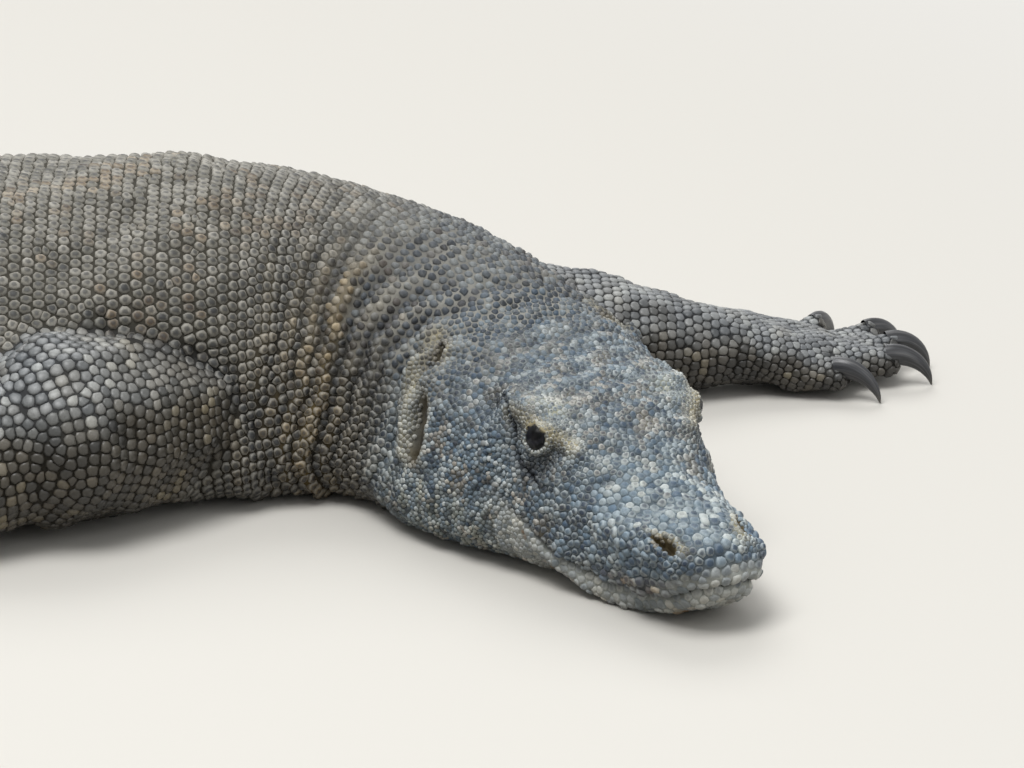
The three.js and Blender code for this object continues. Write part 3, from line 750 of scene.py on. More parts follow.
def markings(co, normal_z, s, side, up, limb, chance):
    """Shares from 0 to 1 of each marking at points of the skin or at the roots of scales. Chance,
    different from scale to scale, lets one take a marking and the next miss it."""
    h = mirrored(s, side, up)
    trunk = 1 - ease(limb + 0.12 * waves(co, 24, 51), 0.35, 0.65)
    head = fade(s + 9 * waves(co, 26, 52), 192, 240) * trunk
    gap = mouth_gap(s, up)
    mouth = head * fade(s, 112, 135)
    away, facing, edge, rise = lid_place(co)
    lids = head * (facing > 0) * fade(away, 13, 19)
    uneven, blotch, fine = waves(co, 30, 53), waves(co, 75, 54), waves(co, 9, 55)
    rim = nostril_rim(h)

    nape = trunk * nape_share(s, up, co)
    rimmed = trunk * (1 - head * np.clip(0.3 - 0.9 * chance, 0, 1)) * (1 - 0.8 * nape)
    rimmed = rimmed * (1 - 0.8 * head * cheek_share(s, up))
    lips = mouth * (bell(gap - 5.5, 5) * fade(s, 14, 34) + bell(gap + 5.5, 5))
    mark = {"rimmed": rimmed * (1 - 0.7 * np.clip(lips, 0, 1))}
    # painted light and shade: the limbs are paler where they face up, darker beneath and darker
    # near the right shoulder
    above = ease(normal_z + 0.2 * uneven, 0.0, 1.05)
    # painted shade: the body's lower flanks, chest and throat are darkened, as if in shade
    mark["low"] = fade(up + 10 * uneven, -46, 40) * trunk * ease(s, 190, 260)
    above = above * (0.3 + 0.7 * ease(apart(co, RIGHT_SHOULDER), 75, 150))
    mark["limb_low"] = (1 - trunk) * (1 - above)
    mark["limb_top"] = (1 - trunk) * above
    mark["nape"] = nape
    mark["head_grey"] = head
    crown = bell(s - 122, 34) * ease(up, 18, 34)
    mark["head_warm"] = head * ease(uneven + 0.4 * fine + 0.8 * crown + 2.2 * chance, 0.45, 1.1)
    blue = sum(share * bell(apart(h, at, way), wide) for at, way, wide, share in BLUE_SPOTS)
    snout = fade(s + 10 * uneven, 58, 98) * head
    # partly painted shade: the snout's lower sides are made bluer, standing for sky-lit shade;
    # elsewhere the blue grey is the hide's own
    blue += 0.8 * snout * fade(up, -2, 14)
    mark["head_blue"] = head * np.clip(blue * (0.9 + 0.4 * fine) - 0.8 * chance, 0, 0.9)
    mark["snout"] = snout * np.clip(0.35 + 0.6 * ease(up, -6, 10) + 0.5 * fine, 0, 0.9)
    jowl = head * ease(s, 96, 130) * ease(-up, 4, 30)
    mark["olive"] = jowl * np.clip(0.35 + 0.5 * fine, 0, 0.7)
    gold = bell(s - 308, 52) * (1 - 0.75 * ease(up, 26, 70)) * np.where(side < 0, 1, 0.6)
    folds = neck_folds(co, s, side, up)
    orange = bell(s - 440, 180) * ease(up, -30, 20)
    orange = orange * ease(0.8 * blotch + 0.6 * uneven + 2.4 * chance, 0.9, 1.6)
    gold = (1 - head) * gold * (0.34 + 0.14 * folds + 0.6 * chance) + head * (rim < 1.15)
    gold += 0.8 * head * near_line(h, EAR_LINE, 4.2)
    mark["gold"] = trunk * np.clip(gold, 0, 0.9)
    rust = 0.55 * orange * (1 - head) + mouth * bell(gap - 6, 3.5) * bell(s - 34, 24)
    mark["rust"] = trunk * np.clip(rust, 0, 1)
    lip = ease(-gap, -0.8, 1.2) + bell(gap - 5, 5.5) * fade(s, 10, 32)
    mark["lip"] = mouth * np.clip(lip, 0, 1)
    stain = ease(waves(co, 18, 56) + 0.4 * fine, 0.35, 0.9) * ease(-gap, 5, 9)
    mark["stain"] = mouth * stain
    brow = bell(apart(h, (119, 33, 38), (1.8, 1, 1)), 8)
    tear = lids * bell(edge - 1.42, 0.16) * ease(-rise, -2, 2)
    mark["white"] = np.clip(head * 0.85 * brow * (0.8 + 0.4 * fine) + 0.8 * tear, 0, 1)
    band = near_line(h, BAND_LINE, 4.6)
    nostril = bell(rim - 1.5, 0.55) * np.clip(0.3 + ((h - NOSTRIL_AT) @ NOSTRIL_WIDE) / 6, 0.0, 1)
    ear = near_line(h - [10.0, 0, 0], EAR_LINE, 6) + near_line(h + [4.0, 0, 0], EAR_LINE, 3)
    mark["cream"] = head * np.clip(band + 0.8 * nostril + 0.75 * ear * (0.8 + 0.3 * fine), 0, 0.95)
    # painted shade in the head's hollows, the lid fold, the eye's socket, the ear slit, the nostril
    # and the line of the mouth
    hollow = sum(bell(apart(h, at), wide) for at, wide in HOLLOWS)
    fold = near_line(h, LID_FOLD, 1.8)
    bag = 0.8 * ease(edge, 2.1, 2.4) * fade(edge, 2.8, 3.6)
    socket = lids * (1.2 * (edge < 1.2) + 0.4 * (edge < 1.35) + bag) * (rise < 2.5)
    slit = 0.65 * near_line(h, EAR_LINE, 4.2)
    hole = 0.6 * fade(rim, 0.35, 0.8)
    dark = 0.75 * hollow + 0.9 * fold + 0.85 * socket + slit + hole + 0.8 * bell(gap, 0.9) * mouth
    # painted shade in the valleys between the neck's folds and in the crease behind the arm
    valley = np.clip(0.3 - 0.24 * folds, 0, 0.85) * (folds != 0)
    valley = valley * ease(s, 205, 225) * fade(s, 350, 390)
    valley = valley + 0.8 * near_line(np.stack([s, side, up], 1), ARM_CREASE, 6) * (s > 300)
    mark["dark"] = np.clip(head * dark + valley, 0, 1)
    return mark


# The hide's shades, from the darkest scales to the lightest, in the order they are laid over
# each other, and the shade of the soft skin that shows between scales of each kind. Some are
# painted light and shade: the body's underside, the limbs' shaded undersides and lit tops, and
# the hollows and creases; most skin between scales is kept dark as painted shade in the gaps.
GROUND = ("#353431", "#5a5850", "#79766b", "#979388", "#b9b5aa")
SHADES = {
    # painted shade: a darker copy of the hide for the body's underside
    "low": ("#191712", "#2b2822", "#3f3b31", "#575142", "#756b58"),
    # painted shade and light: shaded and lit copies of the limbs' grey
    "limb_low": ("#1c1a16", "#302d26", "#454036", "#5f584b", "#80765f"),
    "limb_top": ("#33373b", "#4d5256", "#676b6e", "#7f8284", "#969998"),
    "head_grey": ("#222e3c", "#3f4e5d", "#66747e", "#939da2", "#c2c7c6"),
    "head_warm": ("#2d2d2f", "#56534f", "#7f7a72", "#a8a196", "#cdc8be"),
    "nape": ("#20262d", "#333b44", "#49525b", "#626a70", "#858b8d"),
    "snout": ("#344559", "#5b7082", "#889ba6", "#b5c0c2", "#d9ded7"),
    "head_blue": ("#2b3e55", "#4a637c", "#718a9f", "#9eaeb8", "#c2cbcd"),
    "olive": ("#282c2d", "#464b49", "#666b66", "#8a8f84", "#b1b3a7"),
    "gold": ("#3b3220", "#625136", "#84714c", "#a38d65", "#c0ab84"),
    "rust": ("#4f3a22", "#785a34", "#967548", "#b09063", "#c7ad86"),
    "lip": ("#858d90", "#a8aeaf", "#c1c4c1", "#d3d4cc", "#e0dfd5"),
    "stain": ("#62492f", "#8b6b45", "#a9895f", "#bfa580", "#d0c0a2"),
    "white": ("#808a90", "#a6afb1", "#c3c9c5", "#d9dbd0", "#ebe9dd"),
    "cream": ("#766e58", "#9d947b", "#b8af96", "#cdc5ae", "#dfdac8"),
    # painted shade for hollows and creases
    "dark": ("#141518", "#202227", "#30333a", "#454a51", "#636769"),
}
PLACES = (0.04, 0.3, 0.52, 0.74, 0.96)  # tones at which a marking has each of its five shades
BETWEEN = {
    "low": "#1c1913", "limb_low": "#211e18", "limb_top": "#26272a", "head_grey": "#636b70",
    "head_warm": "#716d62", "nape": "#96948c", "snout": "#5f6b73", "olive": "#55574f",
    "gold": "#5c4e2c", "lip": "#a9aca6", "white": "#a6a48e", "cream": "#a59a78", "dark": "#131417",
}
RAGGED_MM = 2.1  # size of the unevenness of a bead's rim


def colour_of_hide(tree, between):
    """The hide's colour, laid up marking by marking over the ground shade: of the soft skin
    between the scales, or of the scales themselves."""
    tone = node(tree, "Attribute", attribute_name="tone").outputs["Fac"]
    colour = node(tree, "ValToRGB", {"Fac": tone}, stops=list(zip(PLACES, GROUND))).outputs[0]
    # painted shade: the skin between scales is mostly dark, standing for the shade in the gaps;
    # paler on the nape and lips
    between_colour_and_shade = linear("#2c2922")
    for name, shades in SHADES.items():
        share = node(tree, "Attribute", attribute_name=name).outputs["Fac"]
        shade = node(tree, "ValToRGB", {"Fac": tone}, stops=list(zip(PLACES, shades))).outputs[0]
        colour = node(tree, "Mix", {0: share, 6: colour, 7: shade}, data_type="RGBA").outputs[2]
        if between and name in BETWEEN:
            layer = {0: share, 6: between_colour_and_shade, 7: linear(BETWEEN[name])}
            between_colour_and_shade = node(tree, "Mix", layer, data_type="RGBA").outputs[2]
    if between:
        return node(tree, "Mix", {0: 0.85, 6: colour, 7: between_colour_and_shade}, data_type="RGBA").outputs[2]
    # beads are dark in the middle with a paler ragged rim, and those off the head get painted shade
    # at the foot, where they meet the skin
    head, rim, rimmed = (
        node(tree, "Attribute", attribute_name=name).outputs["Fac"]
        for name in ("head_grey", "rim", "rimmed")
    )
    ragged = node(tree, "TexCoord").outputs["Object"]
    ragged = {"Vector": ragged, "Scale": 1000 / RAGGED_MM, "Detail": 2.0}
    ragged = node(tree, "TexNoise", ragged).outputs["Fac"]
    ragged = node(tree, "MapRange", {"Value": ragged, 3: -0.22, 4: 0.22}).outputs[0]
    rim = node(tree, "Math", {0: rim, 1: ragged}).outputs[0]
    middle = node(tree, "ValToRGB", {"Fac": rim}, stops=[(0.3, 0.8), (0.78, 0.0)]).outputs[0]
    middle = node(tree, "Math", {0: middle, 1: rimmed}, operation="MULTIPLY").outputs[0]
    core = {0: head, 6: linear("#2e3032"), 7: linear("#38414c")}
    core = node(tree, "Mix", core, data_type="RGBA").outputs[2]
    colour = node(tree, "Mix", {0: middle, 6: colour, 7: core}, data_type="RGBA").outputs[2]
    pale = [(0.52, 0.0), (0.78, 0.6), (0.94, 0.6), (1.0, 0.3)]
    pale = node(tree, "ValToRGB", {"Fac": rim}, stops=pale)
    pale = node(tree, "Math", {0: pale.outputs[0], 1: rimmed}, operation="MULTIPLY").outputs[0]
    edge = {0: head, 6: linear("#9c9a93"), 7: linear("#b9c0bf")}
    edge = node(tree, "Mix", edge, data_type="RGBA").outputs[2]
    colour = node(tree, "Mix", {0: pale, 6: colour, 7: edge}, data_type="RGBA").outputs[2]
    # painted shade round the foot of each bead off the head
    foot = node(tree, "ValToRGB", {"Fac": rim}, stops=[(0.88, 0.0), (1.0, 0.45)]).outputs[0]
    foot = node(tree, "MapRange", {"Value": head, 3: foot, 4: 0.0}).outputs[0]
    foot = {0: foot, 6: colour, 7: linear("#2b2823")}
    return node(tree, "Mix", foot, data_type="RGBA").outputs[2]


def hide_material(name, between, rough, shine, grain_mm, deep_mm):
    """Hide with a fine grain, seen as pits and as slightly uneven colour."""
    made, out = new_material(name)
    tree = made.node_tree
    colour = colour_of_hide(tree, between)
    where = node(tree, "TexCoord").outputs["Object"]
    grain = {"Vector": where, "Scale": 1000 / grain_mm, "Detail": 4.0, "Roughness": 0.6}
    grain = node(tree, "TexNoise", grain).outputs["Fac"]
    pits = node(tree, "Bump", {"Height": grain, "Strength": 0.6, "Distance": deep_mm / 1000})
    shade = {0: 0.35, 6: colour, 7: grain}
    shade = node(tree, "Mix", shade, data_type="RGBA", blend_type="OVERLAY")
    gloss = {"Value": grain, 1: 0.3, 2: 0.7, 3: rough - 0.08, 4: rough + 0.12}
    gloss = node(tree, "MapRange", gloss).outputs[0]
    hide = {"Base Color": shade.outputs[2], "Roughness": gloss, "Normal": pits.outputs[0]}
    hide["Specular IOR Level"] = shine
    tree.links.new(node(tree, "BsdfPrincipled", hide).outputs[0], out.inputs["Surface"])
    return made


# Soft skin between the scales: matt and creased, darkened as painted shade in the gaps, cream on
# the nape.
skin_hide = hide_material(
    "hide_between_scales", between=True, rough=0.78, shine=0.25, grain_mm=1.6, deep_mm=0.5
)
skin_marks = markings(co, skin_normal[:, 2], s, side, up, limb_share, -0.2)
store(skin_mesh, "tone", mottle(co))
for name, values in skin_marks.items():
    store(skin_mesh, name, values)
skin = show("skin", skin_mesh, skin_hide)
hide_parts(*FLESH)

# ---- Scales: where they stand -------------------------------------------------------------------
# Beads stand in hoops round the neck, trunk, tail and limbs, each hoop half a bead out of step with
# the last. On the head they are packed unevenly, with rows of shields along the lips. Here only
# their roots are found.
ROW_MM, BEAD_MM = 6.1, 5.3  # hoops of the trunk, and beads along a hoop
HEAD_END = 222.0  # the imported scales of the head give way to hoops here
RIGHT_ARM_MM, LIMB_MM, PAW_MM, DIGIT_MM = 6.2, 5.3, 5.0, 4.6
FINEST_MM = 2.3  # scales beside the brows, ears and nostrils
FIRST_HOOP = 216.0
HOOP_BEADS = ((FIRST_HOOP, 300, VENT, VENT + 500, TIP), (4.6, BEAD_MM, 5.6, 4.8, 3.2))
HOOP_STEPS = (
    (FIRST_HOOP, 260, 400, 460, VENT, VENT + 600, TIP), (5.4, 6.0, 6.3, ROW_MM, 6.5, 6.0, 3.8),
)
HEAD_SIZES = ((0, 36, 60, 90, 120, 190, 225), (5.4, 5.2, 4.3, 3.6, 3.2, 3.3, 4.8))
BODY_SIZES = ((225, 400, VENT, VENT + 500, TIP), (4.9, 5.4, 5.9, 5.2, 3.4))
vertex_of = skin_tri[:, 0]


def right_arm_size(from_shoulder):
    """Width of the right arm's shields: small by the shoulder, large at the elbow."""
    return np.interp(from_shoulder, [30, 120], [4.6, RIGHT_ARM_MM])


def size_at(at, s, side, up, limb, label):
    """The width of a scale at each place, smaller round the brows, lids, ears and nostrils."""
    h = mirrored(s, side, up)
    head = np.interp(s, *HEAD_SIZES)
    head = head * (1 + 0.16 * waves(at, 9, 61) * fade(s, 60, 110))
    head = head * (1 - 0.26 * cheek_share(s, up))
    for line, grow in ((BROW_LINE, 0.12), (EAR_LINE, 0.16)):
        head = np.minimum(head, FINEST_MM + grow * np.maximum(away_from(h, line)[0] - 6, 0))
    head = np.minimum(head, FINEST_MM + 1.3 * np.maximum(nostril_rim(h) - 1.2, 0))
    away, facing, _, _ = lid_place(at)
    lids = 1.6 + 0.14 * np.maximum(away - EYE_RADIUS - 1.5, 0) + 0.5 * ease(-facing, -0.2, 0.4)
    head = np.minimum(head, lids)
    body = np.interp(s, *BODY_SIZES)
    body = body * (1 + 0.35 * fade(up, -66, -50))
    out = np.where(s < 225, head, body)
    names = np.full(len(FLESH), LIMB_MM)
    names[[i for i, n in enumerate(FLESH) if "hand" in n or "foot" in n]] = PAW_MM
    out = np.where(limb, names[label], out)
    right_arm = np.isin(label, [FLESH.index("upper_arm_right"), FLESH.index("forearm_right")])
    return np.where(right_arm, right_arm_size(apart(at, RIGHT_SHOULDER)), out)


def ring_of(middle, left, up, count, reach):
    """Where rays from a point inside the body meet the skin, all round, and the face each meets."""
    hits = []
    for turn in np.arange(count) / count * 2 * np.pi:
        way = up * math.cos(turn) + left * math.sin(turn)
        point, _, face, _ = skin_tree.ray_cast(middle, way, reach)
        hits.append((np.array(point), face) if point else (None, -1))
    return hits


def hoop(hits, spacing, odd, allowed):
    """Points evenly spaced along one hoop, counted both ways from its top."""
    found = []
    for way in (1, -1):
        order = [hits[(way * k) % len(hits)] for k in range(len(hits) // 2 + 1)]
        dist, last, run = 0.0, None, []
        for point, face in order:
            good = face >= 0 and skin_label[vertex_of[face]] in allowed
            if good and last is not None:
                dist += np.linalg.norm(point - last)
            run.append((dist, point if good else None))
            last = point if good else None
            if not good:
                dist += spacing
        target = spacing * (0.5 if odd else (0.0 if way == 1 else 1.0))
        for (d0, p0), (d1, p1) in zip(run, run[1:]):
            while d0 <= target < d1:
                if p0 is not None and p1 is not None:
                    found.append(p0 + (p1 - p0) * ((target - d0) / max(d1 - d0, 1e-6)))
                target += spacing
    return found


rng = np.random.default_rng(7)
in_hoops = []
row, s_now = 0, FIRST_HOOP
while s_now < TIP - 8:
    middle, left, upward = (on_line(t, np.array([s_now]))[0] for t in (LINE, LEFT, UP))
    rays, reach = (72 if s_now < VENT + 300 else 40), (190 if s_now < VENT else 90)
    hits = ring_of(middle, left, upward, rays, reach)
    in_hoops += hoop(hits, np.interp(s_now, *HOOP_BEADS), row % 2, set(range(len(BODY))))
    s_now += np.interp(s_now, *HOOP_STEPS)
    row += 1

# The limbs' joints, ahead of the shoulders or the hips, to the left of them and above the floor.
hip_at = on_line(LINE, np.array([HIP]))[0] * [1, 1, 0]
hip_ahead = unit(on_line(FORWARD, np.array([HIP]))[0] * [1, 1, 0])
hip_left = on_line(LEFT, np.array([HIP]))[0]
JOINTS = {
    ("arm", "left"): [(45, 66, 56), (176, 70, 36), (277, 83, 24)],
    ("arm", "right"): [(30, -46, 42), (-66, -126, 54), (-170, -178, 24)],
    ("leg", "left"): [(0, 40, 60), (105, 165, 56), (-5, 245, 26)],
    ("leg", "right"): [(0, -40, 60), (60, -180, 54), (-80, -240, 26)],
}
PALM_MM = {"arm": 62, "leg": 84}
LIMB_REACH, DIGIT_REACH = 90, 15  # rays from the line of the bones meet the skin within this
OVERRUN_MM = 25  # hoops go on this far past a joint
HOOP_SHARE = 0.93  # hoops of a limb stand this share of a bead's width apart
UNEVEN_MM = 0.46  # how far roots stand out of line
limb_lines = {}


def parts_of(limb_name, side_name):
    """Where a limb's three solids stand in the list of flesh."""
    return [FLESH.index(f"{part}_{side_name}") for part in LIMB_NODES[limb_name]]


for (limb_name, side_name), joints in JOINTS.items():
    if limb_name == "arm":
        line = [MID_SHOULDER + j for j in joints]
    else:
        line = [hip_at + hip_ahead * x + hip_left * y + [0, 0, z] for x, y, z in joints]
    own = [claw for claw in claws if (claw.limb, claw.side) == (limb_name, side_name)]
    palm_way = unit(np.mean([claw.root for claw in own], 0) * [1, 1, 0] - line[2] * [1, 1, 0])
    line.append(line[2] * [1, 1, 0] + palm_way * PALM_MM[limb_name] + [0, 0, 13])
    limb_lines[limb_name, side_name] = line
    size = RIGHT_ARM_MM if (limb_name, side_name) == ("arm", "right") else LIMB_MM
    ids = parts_of(limb_name, side_name)
    runs = zip(line, line[1:], ids, (size, size, size * 0.82))
    tracks = [(a, b, {part}, width, LIMB_REACH) for a, b, part, width in runs]
    for claw in own:
        root = claw.root * [1, 1, 0]
        run = root - claw.way * 40 + [0, 0, 13], root + claw.way * 3 + [0, 0, 12]
        tracks.append((*run, {ids[2]}, DIGIT_MM, DIGIT_REACH))
    for a, b, allowed, width, reach in tracks:
        length = np.linalg.norm(b - a)
        ahead = (b - a) / length
        left = unit(np.cross([0, 0, 1.0], ahead))
        upward = np.cross(ahead, left)
        rays, overrun = (40, OVERRUN_MM) if reach == LIMB_REACH else (24, 0)
        t, row = -overrun, 0
        while t < length + overrun:
            hits = ring_of(a + ahead * t, left, upward, rays, reach)
            if size == RIGHT_ARM_MM and a is line[0]:
                width = right_arm_size(t)
            in_hoops += hoop(hits, width, row % 2, allowed)
            t += width * HOOP_SHARE
            row += 1
in_hoops = np.array(in_hoops) + rng.normal(scale=UNEVEN_MM, size=(len(in_hoops), 3))

# Shields of the lips: two rows above the mouth and two below, from one corner of it to the other.
LIP_ROWS = ((3.4, 5.6), (9.2, 5.4), (-3.4, 5.4), (-8.8, 5.2))  # height over the mouth, width
shields = []
round_snout = np.degrees(np.arctan2(side, 60 - s))
for over, width in LIP_ROWS:
    band = is_head(co, h) & ~limb & (s < 122) & (np.abs(mouth_gap(s, up) - over) < 1.3)
    step = np.digitize(round_snout[band], np.arange(-150, 151, 2.5))
    track = np.array([co[band][step == k].mean(0) for k in np.unique(step)])
    run = np.concatenate([[0], np.cumsum(np.linalg.norm(np.diff(track, axis=0), axis=1))])
    spots = np.arange(width / 2, run[-1], width)
    shields.append(np.stack([np.interp(spots, run, track[:, k]) for k in range(3)], 1))
shields = np.concatenate(shields)


def rooted(points):
    """Snaps points to the skin and gives, for each, its place, the skin's normal, the solid under
    it, its share of limb, its body place, whether it is on a limb and the width of a scale."""
    found = [skin_tree.find_nearest(p) for p in points.tolist()]
    at = np.array([f[0] for f in found])
    face = np.array([f[2] for f in found])
    normal = unit(skin_normal[skin_tri[face]].mean(1))
    s, side, up, share = carried(at, face, skin_place).T
    label = skin_label[vertex_of[face]]
    limb = label >= len(BODY)
    return at, normal, label, share, s, side, up, limb, size_at(at, s, side, up, limb, label)


def bare(h, limb, at):
    """True where no scale stands: on an eyeball, in a nostril, in the ear's slit, in the mouth."""
    away, facing, edge, _ = lid_place(at)
    out = (away < EYE_RADIUS + 0.3) | ((away < 13) & (facing > 0.3) & (edge < 1.24))
    head = (h[:, 0] < 225) & ~limb
    out |= head & (nostril_rim(h) < 1.08)
    away, along = away_from(h, EAR_LINE)
    out |= head & (away < EAR_SLIT + 2.6 * along) & (along > 0) & (along < 1)
    out |= head & (away_from(h, LID_FOLD)[0] < 0.7)
    out |= head & (np.abs(mouth_gap(h[:, 0], h[:, 2])) < 0.8) & (h[:, 0] < 100)
    return out


def scattered(count, seed, chosen):
    """Random places on the chosen faces where a scale may stand, and the width of one there."""
    rng = np.random.default_rng(seed)
    a, b, c = (co[skin_tri[chosen, k]] for k in range(3))
    area = np.linalg.norm(np.cross(b - a, c - a), axis=1)
    pick = rng.choice(len(area), count, p=area / area.sum())
    u, v = rng.random((2, count))
    u, v = np.where(u + v > 1, 1 - u, u)[:, None], np.where(u + v > 1, 1 - v, v)[:, None]
    at, k = a[pick] + (b[pick] - a[pick]) * u + (c[pick] - a[pick]) * v, vertex_of[chosen[pick]]
    width = size_at(at, s[k], side[k], up[k], limb[k], skin_label[k])
    free = ~bare(h[k], limb[k], at)
    return at[free], width[free]


CELL_MM = 6.0  # no scale keeps others further off than this


def thinned(points, sizes, share, start=0):
    """Keeps each point unless one kept before it is nearer than its share of their width. The
    points before start all stay."""
    grid, out = {}, []  # the points kept, first by the cell of space that each is in
    keys = np.floor(points / CELL_MM).astype(int).tolist()
    pts, rooms = points.tolist(), (sizes * share).tolist()
    offsets = [(dx, dy, dz) for dx in (-1, 0, 1) for dy in (-1, 0, 1) for dz in (-1, 0, 1)]
    for i, (kx, ky, kz) in enumerate(keys):
        x, y, z = pts[i]
        close = False
        for dx, dy, dz in offsets if i >= start else ():
            for j in grid.get((kx + dx, ky + dy, kz + dz), ()):
                p, room = pts[j], min(rooms[i], rooms[j])
                close |= (x - p[0]) ** 2 + (y - p[1]) ** 2 + (z - p[2]) ** 2 < room**2
            if close:
                break
        if not close:
            grid.setdefault((kx, ky, kz), []).append(i)
            out.append(i)
    return np.array(out)


def neighbours(points, count):
    """The indices of the points nearest to each point."""
    tree = KDTree(len(points))
    for i, p in enumerate(points):
        tree.insert(p, i)
    tree.balance()
    return np.array([[k for _, k, _ in tree.find_n(p, count + 1)][1:] for p in points])


def evened(points, sizes, rounds, start):
    """Pushes packed scales apart until they sit evenly on the skin. Those before start stay put."""
    for _ in range(rounds):
        near = neighbours(points, 8)
        off = points[:, None] - points[near]
        dist = np.maximum(np.linalg.norm(off, axis=2), 1e-3)
        want = 1.12 * (sizes[:, None] + sizes[near]) / 2
        push = np.clip(1 - dist / want, 0, 1) * 0.32 * want
        moved = points[start:] + (off / dist[..., None] * push[..., None]).sum(1)[start:]
        moved = np.array([skin_tree.find_nearest(p)[0] for p in moved.tolist()])
        points = np.concatenate([points[:start], moved])
    return points


# How many places are tried, and how near two scales may stand, as a share of their width.
HEAD_TRIES, HEAD_ROOM, ROW_ROOM = 90000, 0.80, 0.62
FILL_TRIES, FILL_ROOM = 240000, 0.72
SHIELD_MM = 5.0
on_head = np.flatnonzero((skin_label[vertex_of] < len(BODY)) & (s[vertex_of] < HEAD_END))
packed, size = scattered(HEAD_TRIES, 31, on_head)
off_floor = packed[:, 2] > 1.2
packed = np.concatenate([shields, packed[off_floor]])
size = np.concatenate([np.full(len(shields), SHIELD_MM), size[off_floor]])
keep = thinned(packed, size, HEAD_ROOM, len(shields))
packed = evened(packed[keep], size[keep], 6, len(shields))

found = rooted(np.concatenate([packed, in_hoops]))
roots, normal, label, root_share, root_s, root_side, root_up, root_limb, size = found
ok = ~bare(mirrored(root_s, root_side, root_up), root_limb, roots)
ok &= (np.arange(len(roots)) < len(packed)) | (root_s > HEAD_END - 4) | root_limb
roots, size = roots[ok], size[ok]
keep = thinned(roots, size, ROW_ROOM)
roots, size = roots[keep], size[keep]

# Gaps that the hoops leave, such as between digits or in the armpits, are filled.
extra, extra_size = scattered(FILL_TRIES, 32, np.arange(len(skin_tri)))
extra, size = np.concatenate([roots, extra]), np.concatenate([size, extra_size])
extra = extra[thinned(extra, size, FILL_ROOM, len(roots))]
found = rooted(extra)
roots, normal, label, root_share, root_s, root_side, root_up, root_limb, size = found

# ---- Scales: their shapes -----------------------------------------------------------------------
# Each scale fills the room its neighbours leave it, with rounded corners and a dark gap all round.
# It is a low dome of rings, its rear edge lifted a little over the next.
FINE = [(1.0, 0.0), (0.93, 0.48), (0.62, 0.90)]  # rings from the foot up: share of reach, of height
SOFT = [(1.0, 0.0), (0.91, 0.36), (0.58, 0.86)]  # gentler towards the edge
PLAIN = [(1.0, 0.0), (0.82, 0.74)]
SHARP = 18.0  # how crisply two sides of a scale's outline meet
LONGEST = 0.66  # the furthest that a scale reaches, as a share of its width
PATCH = 0.0015  # half the width of a scale's patch on the unwrapped skin
GAP, NAPE_GAP = 0.02, 0.13  # share of a scale's reach left free round it, and more on the nape
ROOTED_MM = 0.75  # how deep a scale's foot stands in the skin


def lie_of(normal, s, label):
    """The way each scale's rear edge points: towards the tail, or down the limb."""
    ahead = -on_line(FORWARD, s)
    for (limb_name, side_name), line in limb_lines.items():
        for i, part in enumerate(parts_of(limb_name, side_name)):
            ahead[label == part] = unit(line[i + 1] - line[i])
    ahead -= normal * (ahead * normal).sum(1, keepdims=True)
    return unit(ahead)


near = neighbours(roots, 13)
rear = lie_of(normal, root_s, label)
across = np.cross(normal, rear)


def outlines(pick, corners):
    """How far each scale reaches towards each of its corners: half way to the neighbours."""
    off = roots[near[pick]] - roots[pick][:, None]
    dist = np.linalg.norm(off, axis=2)
    x = (off * rear[pick][:, None]).sum(2)
    y = (off * across[pick][:, None]).sum(2)
    flat = np.maximum(np.hypot(x, y), 1e-6)
    same = ((normal[near[pick]] * normal[pick][:, None]).sum(2) > 0.1) & (flat > 0.35 * dist)
    x, y = x * dist / flat, y * dist / flat
    turn = (np.arange(corners) + 0.5) / corners * 2 * np.pi
    toward = x[:, :, None] * np.cos(turn) + y[:, :, None] * np.sin(turn)
    reach = (dist**2 / 2)[:, :, None] / np.maximum(toward, 1e-6)
    reach = np.where((toward > 0.05 * dist[:, :, None]) & same[:, :, None], reach, 1e4)
    limit = (LONGEST * size[pick])[:, None, None]
    reach = np.concatenate([reach, np.broadcast_to(limit, (len(pick), 1, corners))], 1)
    return (np.maximum(reach, 0.1) ** -SHARP).sum(1) ** (-1 / SHARP), turn


